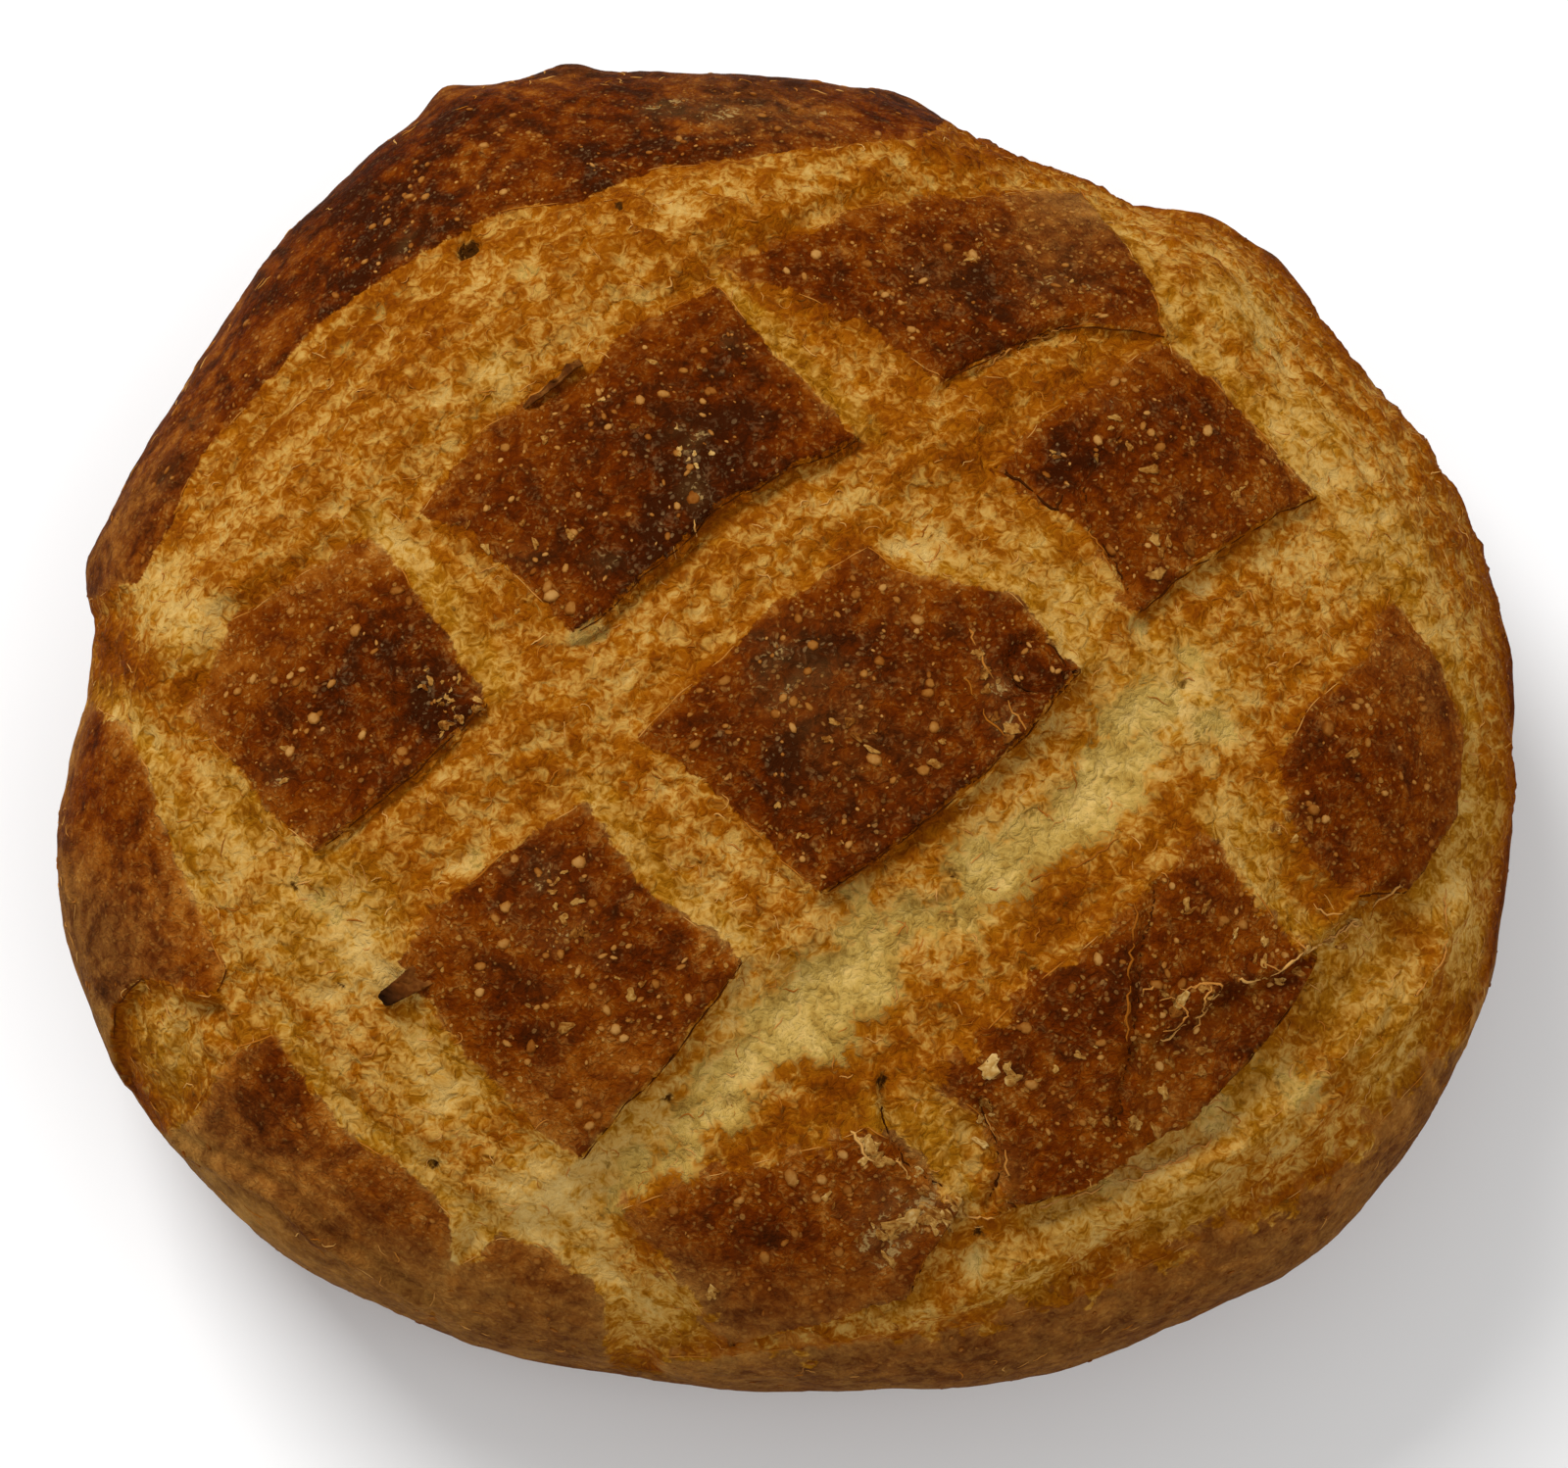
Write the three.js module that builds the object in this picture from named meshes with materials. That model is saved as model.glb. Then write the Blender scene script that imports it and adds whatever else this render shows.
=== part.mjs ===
// French bread loaf: a round, scored boule with a thick brown crust. Millimetres, +Z up.
//
// The loaf is one solid. Its crust is drawn in "crust coordinates" (u, v): the distance over the
// crust from the crown, split into +X and +Y, as if the crust were peeled off and laid flat. The
// baker's four long cuts one way and four the other leave raised pieces of skin between them, and
// the dough has swollen up through the cuts.

import * as THREE from "three";

// Driving dimensions of the whole loaf.
const HEIGHT = 95;
const BULGE_HEIGHT = 38; // where the loaf is widest
const CROWN_RISE = HEIGHT - BULGE_HEIGHT;
const UNDER_DROP = 52; // more than BULGE_HEIGHT, so the flat base cuts it off
const CROWN_POWER = 2.3; // 2 is an ellipse, more is squarer
const UNDER_POWER = 2.6;
const MEAN_RADIUS = 115;

// Radius at the bulge, one every 15 degrees, counted from +X towards +Y.
const OUTLINE = [
  119, 117.5, 113.5, 111, 103.5, 105, 109.5, 113, 120, 117.5, 116, 116.5,
  117, 122, 123.5, 120, 115.5, 110.5, 109.5, 112.5, 116.5, 120.5, 122.5, 120,
];

// Raised pieces of skin on the top, each an outline in crust coordinates.
const TILES = [
  // The middle tile, with the crown on its edge.
  [[-22, -17], [-17, -12], [-2, 2], [6, 8], [12, 12], [16, 8], [32, 4], [38, -3], [42, -7],
    [32, -17], [20, -30], [5, -44], [-2, -39], [-13, -26]],
  // Behind it on the left, then the one in front on the left, then the one in front of that.
  [[-57, 20], [-48, 32], [-40, 36], [-30, 40], [-17, 55], [-12, 59], [-7, 51], [11, 32],
    [-2, 24], [-14, 14], [-32, -2], [-46, 12]],
  [[-94, -9], [-90, -5], [-88, 4], [-80, 8], [-66, 16], [-60, 10], [-52, -2], [-44, -12],
    [-54, -22], [-68, -32], [-82, -20]],
  [[-56, -49], [-51, -42], [-40, -33], [-30, -27], [-22, -42], [-8, -55], [-18, -68],
    [-34, -84], [-43, -72], [-51, -61]],
  // Two behind on the right.
  [[33, 25], [40, 35], [49, 42], [61, 52], [69, 46], [78, 30], [82, 24], [65, 14], [51, 2],
    [44, 14]],
  [[-12, 62], [4, 72], [10, 78], [20, 83], [40, 90], [55, 94], [58, 77], [62, 53], [54, 54],
    [44, 54], [26, 44], [12, 54], [-3, 58]],
  // Two in front on the right.
  [[94, 9], [88, -2], [79, -9], [71, -20], [76, -34], [84, -38], [94, -37], [105, -25],
    [107, -10], [101, 2]],
  [[22, -70], [35, -56], [47, -42], [59, -30], [70, -42], [77, -47], [68, -62], [59, -74],
    [45, -86], [34, -91], [32, -84], [30, -77]],
  // The front one.
  [[-28, -94], [-17, -90], [-2, -86], [12, -80], [18, -83], [26, -90], [18, -108], [-2, -118],
    [-11, -122], [-16, -114]],
];

// Skin between the ends of the cuts, running over the shoulder of the loaf into its side.
const SHOULDERS = [
  // The wide one, behind on the left.
  [[-108, 14], [-100, 24], [-97, 34], [-78, 54], [-57, 66], [-32, 72], [-23, 81], [-4, 88],
    [10, 94], [24, 102], [31, 116], [33, 147], [-39, 145], [-96, 115], [-139, 56], [-148, 22], [-124, 17]],
  // Left, front left, and the small one beside it.
  [[-118, -5], [-107, -10], [-99, -19], [-90, -38], [-84, -48], [-86, -52], [-93, -51],
    [-101, -49], [-109, -54], [-126, -80], [-145, -38], [-149, -4], [-128, -2]],
  [[-82, -60], [-77, -59], [-69, -75], [-60, -82], [-53, -93], [-57, -101], [-64, -112],
    [-74, -130], [-109, -103], [-126, -82], [-108, -77], [-98, -73], [-89, -66]],
  [[-64, -106], [-54, -101], [-48, -97], [-42, -99], [-36, -105], [-32, -113], [-38, -145],
    [-72, -131], [-66, -116]],
  // The long one round the front on the right, and the short one behind on the right.
  [[132, -42], [124, -52], [110, -60], [100, -68], [88, -81], [71, -92], [55, -104],
    [32, -114], [6, -122], [-12, -127], [-24, -127], [-28, -147], [8, -150], [54, -140],
    [106, -106], [143, -47]],
  [[76, 100], [92, 90], [104, 84], [128, 78], [92, 118], [70, 133]],
];
const SIDE_START = 139; // every cut has died out this far from the crown

// Dough that stands up or sinks along a cut: a line, how wide it is, and how high it stands.
const SWELLINGS = [
  { line: [[-96, 1], [-78, 21], [-50, 46], [-26, 62], [-6, 76], [20, 96]], width: 13, height: 4.2 },
  { line: [[-67, -36], [-37, -14], [-7, 8], [10, 24], [29, 34], [47, 50]], width: 6, height: 1.4 },
  { line: [[-92, -25], [-80, -40], [-58, -75], [-42, -90]], width: 7, height: 1.6 },
  { line: [[-50, 2], [-26, -22], [-2, -52]], width: 5, height: 1.2 },
  { line: [[7, 46], [23, 29], [45, 0], [59, -14]], width: 5, height: 1.2 },
  { line: [[68, 62], [81, 44], [96, 20], [112, 2], [122, -20]], width: 10, height: 2 },
  { line: [[-32, -90], [-2, -64], [28, -40], [50, -18]], width: 5, height: -1.6 },
  { line: [[4, -124], [34, -104], [62, -84], [84, -62], [108, -38]], width: 4, height: 2.6 },
  { line: [[40, -92], [58, -78], [80, -56], [96, -40]], width: 3.5, height: -1.2 },
];

// Knobs on the shoulder and blisters under the skin: place, radius and height.
const KNOBS = [
  [-60, 108, 6, 1.6], [-42, 117, 9, 1.4], [-130, 26, 7, 2], [22, 130, 8, 1.6], [84, 96, 9, 1.8],
  [100, 86, 8, 1.4], [36, -9, 6, 1.6], [-74, -4, 9, 1], [8, -20, 12, 0.8], [-32, 20, 14, 0.8],
  [60, 26, 11, 1], [-34, -56, 14, 0.9], [88, -16, 10, 1], [50, -56, 6, 1.2],
  [-87.5, -58.5, 4, 1.8], [-61, 110, 3.5, 1.4], [-40, 118, 4, 1.2], [97, 94, 5, 1.4],
  [34, 136, 8, 2.2],
];

// A curl of dried skin at the left corner of the tile in front on the left.
const CURL = { place: [-58, -53], radius: 3.2, height: 2.6 };

// Slow unevenness of the whole crust, as waves over it: how high, how many millimetres a radian
// takes along u and along v, and where the wave starts.
const WAVES = [[0.35, 17, -21, 2.47], [0.35, 17, 21, 0.13], [0.4, 13, 13, 2], [0.3, 15, -7.5, 0]];

// The skin: its lips face front right, where the cuts undercut it, and it lies soft elsewhere.
const LIP_FACING = [Math.SQRT1_2, -Math.SQRT1_2];
const TILE_LIPS = [1, 1, 0.9, 0.5, 0.5, 0.6, 0.5, 0.8, 0.7]; // how sharp each piece's lip is
const SHOULDER_LIPS = [0.15, 0.4, 0.3, 0.2, 0.2, 0];
const LIP_LIFT = 0.9;
const LIP_WIDTH = 5;
const EDGE_ROLL = 0.6;
const EDGE_ROLL_WIDTH = 2.5;
const UNDERCUT = 0.9;
const UNDERCUT_WIDTH = 4;
const UNDERCUT_REACH = 30;
const CUT_DEPTH = 1.8;
const LIP_DROP_WIDTH = 0.8; // how far out a cut reaches its depth: at a lip,
const SOFT_DROP_WIDTH = 3.5; // and at a soft edge
const SHARP_LIP = 0.5; // a lip this sharp drops as steeply as any
const SMOOTH_FROM = SIDE_START + 25; // the unevenness dies out from here to the base

// Size of the facets, in millimetres.
const TOP_STEP = 3.95;
const SIDE_STEP = 6.5;
const BASE_RINGS = [0.72, 0.4]; // as shares of the base edge's radius
const BASE_STEP = 14;
const SMALLEST_RING = 6; // points in a ring round the crown
const PROFILE_TURN = 0.25; // degrees between the points of the profile
const SNAP_REACH = 0.4 * TOP_STEP; // a vertex this near the edge of the skin moves onto it

const FULL_TURN = 2 * Math.PI;
const NO_GAP = 1e-6;

function smoothstep(start, end, x) {
  const t = Math.min(1, Math.max(0, (x - start) / (end - start)));
  return t * t * (3 - 2 * t);
}

// Radius at the bulge in a direction: a smooth closed curve through OUTLINE.
function outlineRadius(angle) {
  const count = OUTLINE.length;
  const place = (((angle / FULL_TURN) % 1) + 1) * count;
  const start = Math.floor(place);
  const t = place - start;
  const [a, b, c, d] = [-1, 0, 1, 2].map((k) => OUTLINE[(start + k + count) % count]);
  return 0.5 * (2 * b + (c - a) * t + (2 * a - 5 * b + 4 * c - d) * t ** 2
    + (3 * b - a - 3 * c + d) * t ** 3);
}

// The loaf's mean profile from the crown to the edge of its base, at even steps of crust distance.
function makeProfile() {
  const fine = [];
  for (let turn = 90; turn >= -90; turn -= PROFILE_TURN) {
    const cos = Math.cos(THREE.MathUtils.degToRad(turn));
    const sin = Math.sin(THREE.MathUtils.degToRad(turn));
    const [rise, power] = turn >= 0 ? [CROWN_RISE, CROWN_POWER] : [UNDER_DROP, UNDER_POWER];
    const reach = ((cos / MEAN_RADIUS) ** power + (Math.abs(sin) / rise) ** power) ** (-1 / power);
    fine.push(new THREE.Vector2(reach * cos, BULGE_HEIGHT + reach * sin));
    if (fine.at(-1).y <= 0) break;
  }
  const last = fine.at(-1);
  const before = fine.at(-2);
  last.lerp(before, last.y / (last.y - before.y));
  const table = [{ distance: 0, point: fine[0] }];
  for (const point of fine.slice(1)) {
    const previous = table.at(-1);
    table.push({ distance: previous.distance + point.distanceTo(previous.point), point });
  }
  return table;
}

const PROFILE = makeProfile();
const CRUST_LENGTH = PROFILE.at(-1).distance;

// Where a crust distance lies on the mean profile, and which way the crust faces there.
function onProfile(distance) {
  const index = Math.max(1, PROFILE.findIndex((row) => row.distance >= distance));
  const [low, high] = [PROFILE[index - 1], PROFILE[index]];
  const point = low.point.clone().lerp(high.point,
    (distance - low.distance) / (high.distance - low.distance));
  const along = high.point.clone().sub(low.point).normalize();
  return { point, facing: new THREE.Vector2(-along.y, along.x) };
}

// The nearest point of a closed outline, with its signed distance (negative inside).
function toOutline(outline, u, v) {
  let inside = false;
  let nearest = { squared: Infinity, u: 0, v: 0 };
  outline.forEach(([u1, v1], i) => {
    const [u0, v0] = outline[(i + outline.length - 1) % outline.length];
    const [du, dv] = [u1 - u0, v1 - v0];
    const t = Math.min(1, Math.max(0, ((u - u0) * du + (v - v0) * dv) / (du * du + dv * dv)));
    const [pu, pv] = [u0 + t * du, v0 + t * dv];
    const squared = (u - pu) ** 2 + (v - pv) ** 2;
    if (squared < nearest.squared) nearest = { squared, u: pu, v: pv };
    if ((v0 > v) !== (v1 > v) && u < u0 + (v - v0) / dv * du) inside = !inside;
  });
  const gap = Math.sqrt(nearest.squared);
  const side = inside ? -1 : 1;
  const facing = gap > NO_GAP ? [side * (u - nearest.u) / gap, side * (v - nearest.v) / gap] : [0, 0];
  return { distance: side * gap, edge: [nearest.u, nearest.v], facing };
}

// The side of the loaf as one more piece of skin, outside a circle.
function toSide(u, v) {
  const reach = Math.hypot(u, v) || NO_GAP;
  const out = [u / reach, v / reach];
  return {
    distance: SIDE_START - reach,
    edge: [out[0] * SIDE_START, out[1] * SIDE_START],
    facing: [-out[0], -out[1]],
    lip: 0,
  };
}

const SKIN = [...TILES, ...SHOULDERS];
const SKIN_LIPS = [...TILE_LIPS, ...SHOULDER_LIPS];

// Every piece of skin as seen from a place on the crust, the nearest first. A piece's lip is how
// much of a lip its nearest edge is, from 0 to 1.
function skinAround(u, v) {
  const pieces = SKIN.map((outline, i) => {
    const piece = toOutline(outline, u, v);
    const facing = piece.facing[0] * LIP_FACING[0] + piece.facing[1] * LIP_FACING[1];
    return { ...piece, lip: SKIN_LIPS[i] * Math.max(0, facing) };
  });
  pieces.push(toSide(u, v));
  return pieces.sort((a, b) => a.distance - b.distance);
}

function distanceToLine(line, u, v) {
  let least = Infinity;
  for (let i = 1; i < line.length; i += 1) {
    const [[u0, v0], [u1, v1]] = [line[i - 1], line[i]];
    const [du, dv] = [u1 - u0, v1 - v0];
    const t = Math.min(1, Math.max(0, ((u - u0) * du + (v - v0) * dv) / (du * du + dv * dv)));
    least = Math.min(least, Math.hypot(u - u0 - t * du, v - v0 - t * dv));
  }
  return least;
}

function unevenness(u, v) {
  let height = 0;
  for (const [rise, alongU, alongV, start] of WAVES) {
    height += rise * Math.sin(u / alongU + v / alongV + start);
  }
  return height;
}

function knobHeight(u, v) {
  let height = 0;
  for (const [ku, kv, radius, rise] of KNOBS) {
    height += rise * Math.exp(-((u - ku) ** 2 + (v - kv) ** 2) / radius ** 2);
  }
  const [cu, cv] = CURL.place;
  return height + CURL.height * Math.exp(-((u - cu) ** 2 + (v - cv) ** 2) / CURL.radius ** 2);
}

// Height of the skin near its edge, inset millimetres in: lips stand up, soft edges roll down.
function skinHeight(lip, inset) {
  return LIP_LIFT * lip * Math.exp(-inset / LIP_WIDTH)
    - EDGE_ROLL * (1 - lip) * Math.exp(-inset / EDGE_ROLL_WIDTH);
}

// Height of the torn dough in a cut.
function cutHeight(skin, u, v) {
  let height = -CUT_DEPTH;
  for (const { distance, lip } of skin) {
    if (distance > UNDERCUT_REACH) break;
    height -= UNDERCUT * lip * Math.exp(-Math.max(0, distance) / UNDERCUT_WIDTH);
  }
  for (const { line, width, height: rise } of SWELLINGS) {
    height += rise * Math.exp(-((distanceToLine(line, u, v) / width) ** 2));
  }
  return height;
}

// How far the crust stands out from the smooth loaf.
function relief(u, v) {
  const skin = skinAround(u, v);
  const [{ distance, lip }] = skin;
  const common = unevenness(u, v) + knobHeight(u, v);
  if (distance <= 0) return common + skinHeight(lip, -distance);
  const steepness = smoothstep(0, SHARP_LIP, lip);
  const dropWidth = THREE.MathUtils.lerp(SOFT_DROP_WIDTH, LIP_DROP_WIDTH, steepness);
  const opened = smoothstep(0, dropWidth, distance);
  return common + THREE.MathUtils.lerp(skinHeight(lip, 0), cutHeight(skin, u, v), opened);
}

// A crust place in space. The relief dies out towards the base, which is flat.
function crustPoint(u, v) {
  const distance = Math.min(Math.hypot(u, v), CRUST_LENGTH);
  const angle = Math.atan2(v, u);
  const { point, facing } = onProfile(distance);
  const height = relief(u, v) * (1 - smoothstep(SMOOTH_FROM, CRUST_LENGTH, distance));
  const radius = point.x * outlineRadius(angle) / MEAN_RADIUS + facing.x * height;
  return new THREE.Vector3(radius * Math.cos(angle), radius * Math.sin(angle),
    Math.max(0, point.y + facing.y * height));
}

// Moves a place that lies close to the edge of the skin onto that edge.
function snapped(u, v) {
  const nearest = skinAround(u, v).reduce((a, b) =>
    Math.abs(a.distance) < Math.abs(b.distance) ? a : b);
  return Math.abs(nearest.distance) < SNAP_REACH ? nearest.edge : [u, v];
}

// Places round a ring, the first one turned by shift of a step.
function roundRing(count, shift, pointAt) {
  const points = [];
  for (let i = 0; i < count; i += 1) points.push(pointAt(FULL_TURN * (i + shift) / count));
  return { points, shift };
}

// Rings of points from the crown to the edge of the base, then over the base to its middle.
function makeRings() {
  const rings = [{ points: [crustPoint(0, 0)], shift: 0 }];
  let distance = TOP_STEP;
  while (distance < CRUST_LENGTH) {
    const reach = distance;
    const onSide = reach > SIDE_START + TOP_STEP;
    const step = onSide ? SIDE_STEP : TOP_STEP;
    const count = Math.max(SMALLEST_RING, Math.round(FULL_TURN * onProfile(reach).point.x / step));
    rings.push(roundRing(count, 0.5 * (rings.length % 2), (angle) => {
      const place = [reach * Math.cos(angle), reach * Math.sin(angle)];
      return crustPoint(...(onSide ? place : snapped(...place)));
    }));
    distance += step;
  }
  const edgeCount = rings.at(-1).points.length;
  const edgeRadius = PROFILE.at(-1).point.x;
  for (const share of [1, ...BASE_RINGS]) {
    const count = share === 1 ? edgeCount : Math.round(FULL_TURN * edgeRadius * share / BASE_STEP);
    rings.push(roundRing(count, 0, (angle) => {
      const radius = edgeRadius * share * outlineRadius(angle) / MEAN_RADIUS;
      return new THREE.Vector3(radius * Math.cos(angle), radius * Math.sin(angle), 0);
    }));
  }
  rings.push({ points: [new THREE.Vector3(0, 0, 0)], shift: 0 });
  return rings;
}

// Joins two rings with triangles, always stepping along the ring that lags behind.
function stitch(inner, outer, innerStart, outerStart, triangles) {
  const [innerCount, outerCount] = [inner.points.length, outer.points.length];
  const lastInner = innerCount === 1 ? 0 : innerCount;
  let [i, j] = [0, 0];
  while (i < lastInner || j < outerCount) {
    const low = innerStart + (i % innerCount);
    const high = outerStart + (j % outerCount);
    const outerLags = (j + 1 + outer.shift) / outerCount <= (i + 1 + inner.shift) / innerCount;
    if (i >= lastInner || (j < outerCount && outerLags)) {
      j += 1;
      triangles.push(low, high, outerStart + (j % outerCount));
    } else {
      i += 1;
      triangles.push(low, high, innerStart + (i % innerCount));
    }
  }
}

function makeLoaf() {
  const rings = makeRings();
  const starts = [0];
  for (const { points } of rings) starts.push(starts.at(-1) + points.length);
  const triangles = [];
  const last = rings.length - 1;
  for (let k = 0; k + 1 < last; k += 1) {
    stitch(rings[k], rings[k + 1], starts[k], starts[k + 1], triangles);
  }
  const rimCount = rings[last - 1].points.length;
  for (let i = 0; i < rimCount; i += 1) {
    triangles.push(starts[last - 1] + i, starts[last], starts[last - 1] + (i + 1) % rimCount);
  }
  const geometry = new THREE.BufferGeometry();
  geometry.setFromPoints(rings.flatMap(({ points }) => points));
  geometry.setIndex(triangles);
  geometry.computeVertexNormals();
  return geometry;
}

const crust = new THREE.MeshStandardMaterial({ color: 0x96571c, roughness: 0.75, metalness: 0 });

const loaf = new THREE.Mesh(makeLoaf(), crust);
loaf.name = "loaf";

const group = new THREE.Group();
group.add(loaf);

export default group;
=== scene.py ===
# The looks of the loaf: its crust in full relief, with blisters, flakes, threads and curled edges,
# and the soft studio round it.
import math

import bpy
import numpy as np
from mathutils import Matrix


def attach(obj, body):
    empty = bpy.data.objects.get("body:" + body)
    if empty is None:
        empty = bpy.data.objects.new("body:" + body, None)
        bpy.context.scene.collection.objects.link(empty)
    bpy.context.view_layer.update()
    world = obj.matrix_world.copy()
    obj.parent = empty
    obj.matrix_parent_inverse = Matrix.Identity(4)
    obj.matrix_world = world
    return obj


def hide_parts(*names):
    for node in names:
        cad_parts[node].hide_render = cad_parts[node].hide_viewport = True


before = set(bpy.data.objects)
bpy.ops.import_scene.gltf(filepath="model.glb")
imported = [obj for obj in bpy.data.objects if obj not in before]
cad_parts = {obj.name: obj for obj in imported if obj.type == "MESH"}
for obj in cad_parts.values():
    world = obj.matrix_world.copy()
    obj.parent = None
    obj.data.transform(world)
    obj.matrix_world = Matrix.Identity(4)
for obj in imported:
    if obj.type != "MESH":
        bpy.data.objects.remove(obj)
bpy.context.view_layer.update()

MM = 0.001  # the frame is in metres, and the shapes below are in millimetres

# --- The loaf's form, from the same named sizes as its solid ---
# Crust coordinates (u, v) are the distance over the crust from the crown, split into +X and +Y.

HEIGHT = 95
BULGE_HEIGHT = 38
CROWN_RISE = HEIGHT - BULGE_HEIGHT
UNDER_DROP = 52
CROWN_POWER = 2.3
UNDER_POWER = 2.6
MEAN_RADIUS = 115
OUTLINE = [  # radius at the bulge every 15 degrees from +X towards +Y, as a program fitted it to the photo
    119, 117.5, 113.5, 111, 103.5, 105, 109.5, 113, 120, 117.5, 116, 116.5,
    117, 122, 123.5, 120, 115.5, 110.5, 109.5, 112.5, 116.5, 120.5, 122.5, 120,
]

TILES = [  # raised pieces of skin on the top
    [(-22, -17), (-17, -12), (-2, 2), (6, 8), (12, 12), (16, 8), (32, 4), (38, -3), (42, -7),
     (32, -17), (20, -30), (5, -44), (-2, -39), (-13, -26)],
    [(-57, 20), (-48, 32), (-40, 36), (-30, 40), (-17, 55), (-12, 59), (-7, 51), (11, 32),
     (-2, 24), (-14, 14), (-32, -2), (-46, 12)],
    [(-94, -9), (-90, -5), (-88, 4), (-80, 8), (-66, 16), (-60, 10), (-52, -2), (-44, -12),
     (-54, -22), (-68, -32), (-82, -20)],
    [(-56, -49), (-51, -42), (-40, -33), (-30, -27), (-22, -42), (-8, -55), (-18, -68),
     (-34, -84), (-43, -72), (-51, -61)],
    [(33, 25), (40, 35), (49, 42), (61, 52), (69, 46), (78, 30), (82, 24), (65, 14), (51, 2),
     (44, 14)],
    [(-12, 62), (4, 72), (10, 78), (20, 83), (40, 90), (55, 94), (58, 77), (62, 53), (54, 54),
     (44, 54), (26, 44), (12, 54), (-3, 58)],
    [(94, 9), (88, -2), (79, -9), (71, -20), (76, -34), (84, -38), (94, -37), (105, -25),
     (107, -10), (101, 2)],
    [(22, -70), (35, -56), (47, -42), (59, -30), (70, -42), (77, -47), (68, -62), (59, -74),
     (45, -86), (34, -91), (32, -84), (30, -77)],
    [(-28, -94), (-17, -90), (-2, -86), (12, -80), (18, -83), (26, -90), (18, -108), (-2, -118),
     (-11, -122), (-16, -114)],
]
SHOULDERS = [  # skin between the ends of the cuts, running over into the side
    [(-108, 14), (-100, 24), (-97, 34), (-78, 54), (-57, 66), (-32, 72), (-23, 81), (-4, 88),
     (10, 94), (24, 102), (31, 116), (33, 147), (-39, 145), (-96, 115), (-139, 56), (-148, 22), (-124, 17)],
    [(-118, -5), (-107, -10), (-99, -19), (-90, -38), (-84, -48), (-86, -52), (-93, -51),
     (-101, -49), (-109, -54), (-126, -80), (-145, -38), (-149, -4), (-128, -2)],
    [(-82, -60), (-77, -59), (-69, -75), (-60, -82), (-53, -93), (-57, -101), (-64, -112),
     (-74, -130), (-109, -103), (-126, -82), (-108, -77), (-98, -73), (-89, -66)],
    [(-64, -106), (-54, -101), (-48, -97), (-42, -99), (-36, -105), (-32, -113), (-38, -145),
     (-72, -131), (-66, -116)],
    [(132, -42), (124, -52), (110, -60), (100, -68), (88, -81), (71, -92), (55, -104),
     (32, -114), (6, -122), (-12, -127), (-24, -127), (-28, -147), (8, -150), (54, -140),
     (106, -106), (143, -47)],
    [(76, 100), (92, 90), (104, 84), (128, 78), (92, 118), (70, 133)],
]
SIDE_START = 139

SWELLINGS = [  # dough that stands up or sinks along a cut: line, width and height
    ([(-96, 1), (-78, 21), (-50, 46), (-26, 62), (-6, 76), (20, 96)], 13, 4.2),
    ([(-67, -36), (-37, -14), (-7, 8), (10, 24), (29, 34), (47, 50)], 6, 1.4),
    ([(-92, -25), (-80, -40), (-58, -75), (-42, -90)], 7, 1.6),
    ([(-50, 2), (-26, -22), (-2, -52)], 5, 1.2),
    ([(7, 46), (23, 29), (45, 0), (59, -14)], 5, 1.2),
    ([(68, 62), (81, 44), (96, 20), (112, 2), (122, -20)], 10, 2),
    ([(-32, -90), (-2, -64), (28, -40), (50, -18)], 5, -1.6),
    ([(4, -124), (34, -104), (62, -84), (84, -62), (108, -38)], 4, 2.6),
    ([(40, -92), (58, -78), (80, -56), (96, -40)], 3.5, -1.2),
]
KNOBS = [  # place, radius and height
    (-60, 108, 6, 1.6), (-42, 117, 9, 1.4), (-130, 26, 7, 2), (22, 130, 8, 1.6), (84, 96, 9, 1.8),
    (100, 86, 8, 1.4), (36, -9, 6, 1.6), (-74, -4, 9, 1), (8, -20, 12, 0.8), (-32, 20, 14, 0.8),
    (60, 26, 11, 1), (-34, -56, 14, 0.9), (88, -16, 10, 1), (50, -56, 6, 1.2), (-87.5, -58.5, 4, 1.8),
    (-61, 110, 3.5, 1.4), (-40, 118, 4, 1.2), (97, 94, 5, 1.4), (34, 136, 8, 2.2),
]

WAVES = [  # slow unevenness: height, crust lengths per radian along u and v, and start
    [0.35, 17, -21, 2.47], [0.35, 17, 21, 0.13], [0.4, 13, 13, 2], [0.3, 15, -7.5, 0],
]

LIP_FACING = (math.sqrt(0.5), -math.sqrt(0.5))
TILE_LIPS = [1, 1, 0.9, 0.5, 0.5, 0.6, 0.5, 0.8, 0.7]  # how far each tile's lip stands up
SHOULDER_LIPS = [0.15, 0.4, 0.3, 0.2, 0.2, 0]
LIP_LIFT = 0.9
LIP_WIDTH = 5
EDGE_ROLL = 0.6
EDGE_ROLL_WIDTH = 2.5
UNDERCUT = 0.9
UNDERCUT_WIDTH = 4
CUT_DEPTH = 1.8
LIP_DROP_WIDTH = 0.8
SOFT_DROP_WIDTH = 3.5
CRACK_DEPTH = 0.3  # the dark line just outside the lips
CRACK_OUT = 0.7
CRACK_WIDTH = 0.6
RELIEF_FADE = 25  # how far below SIDE_START the relief starts to fade

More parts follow.
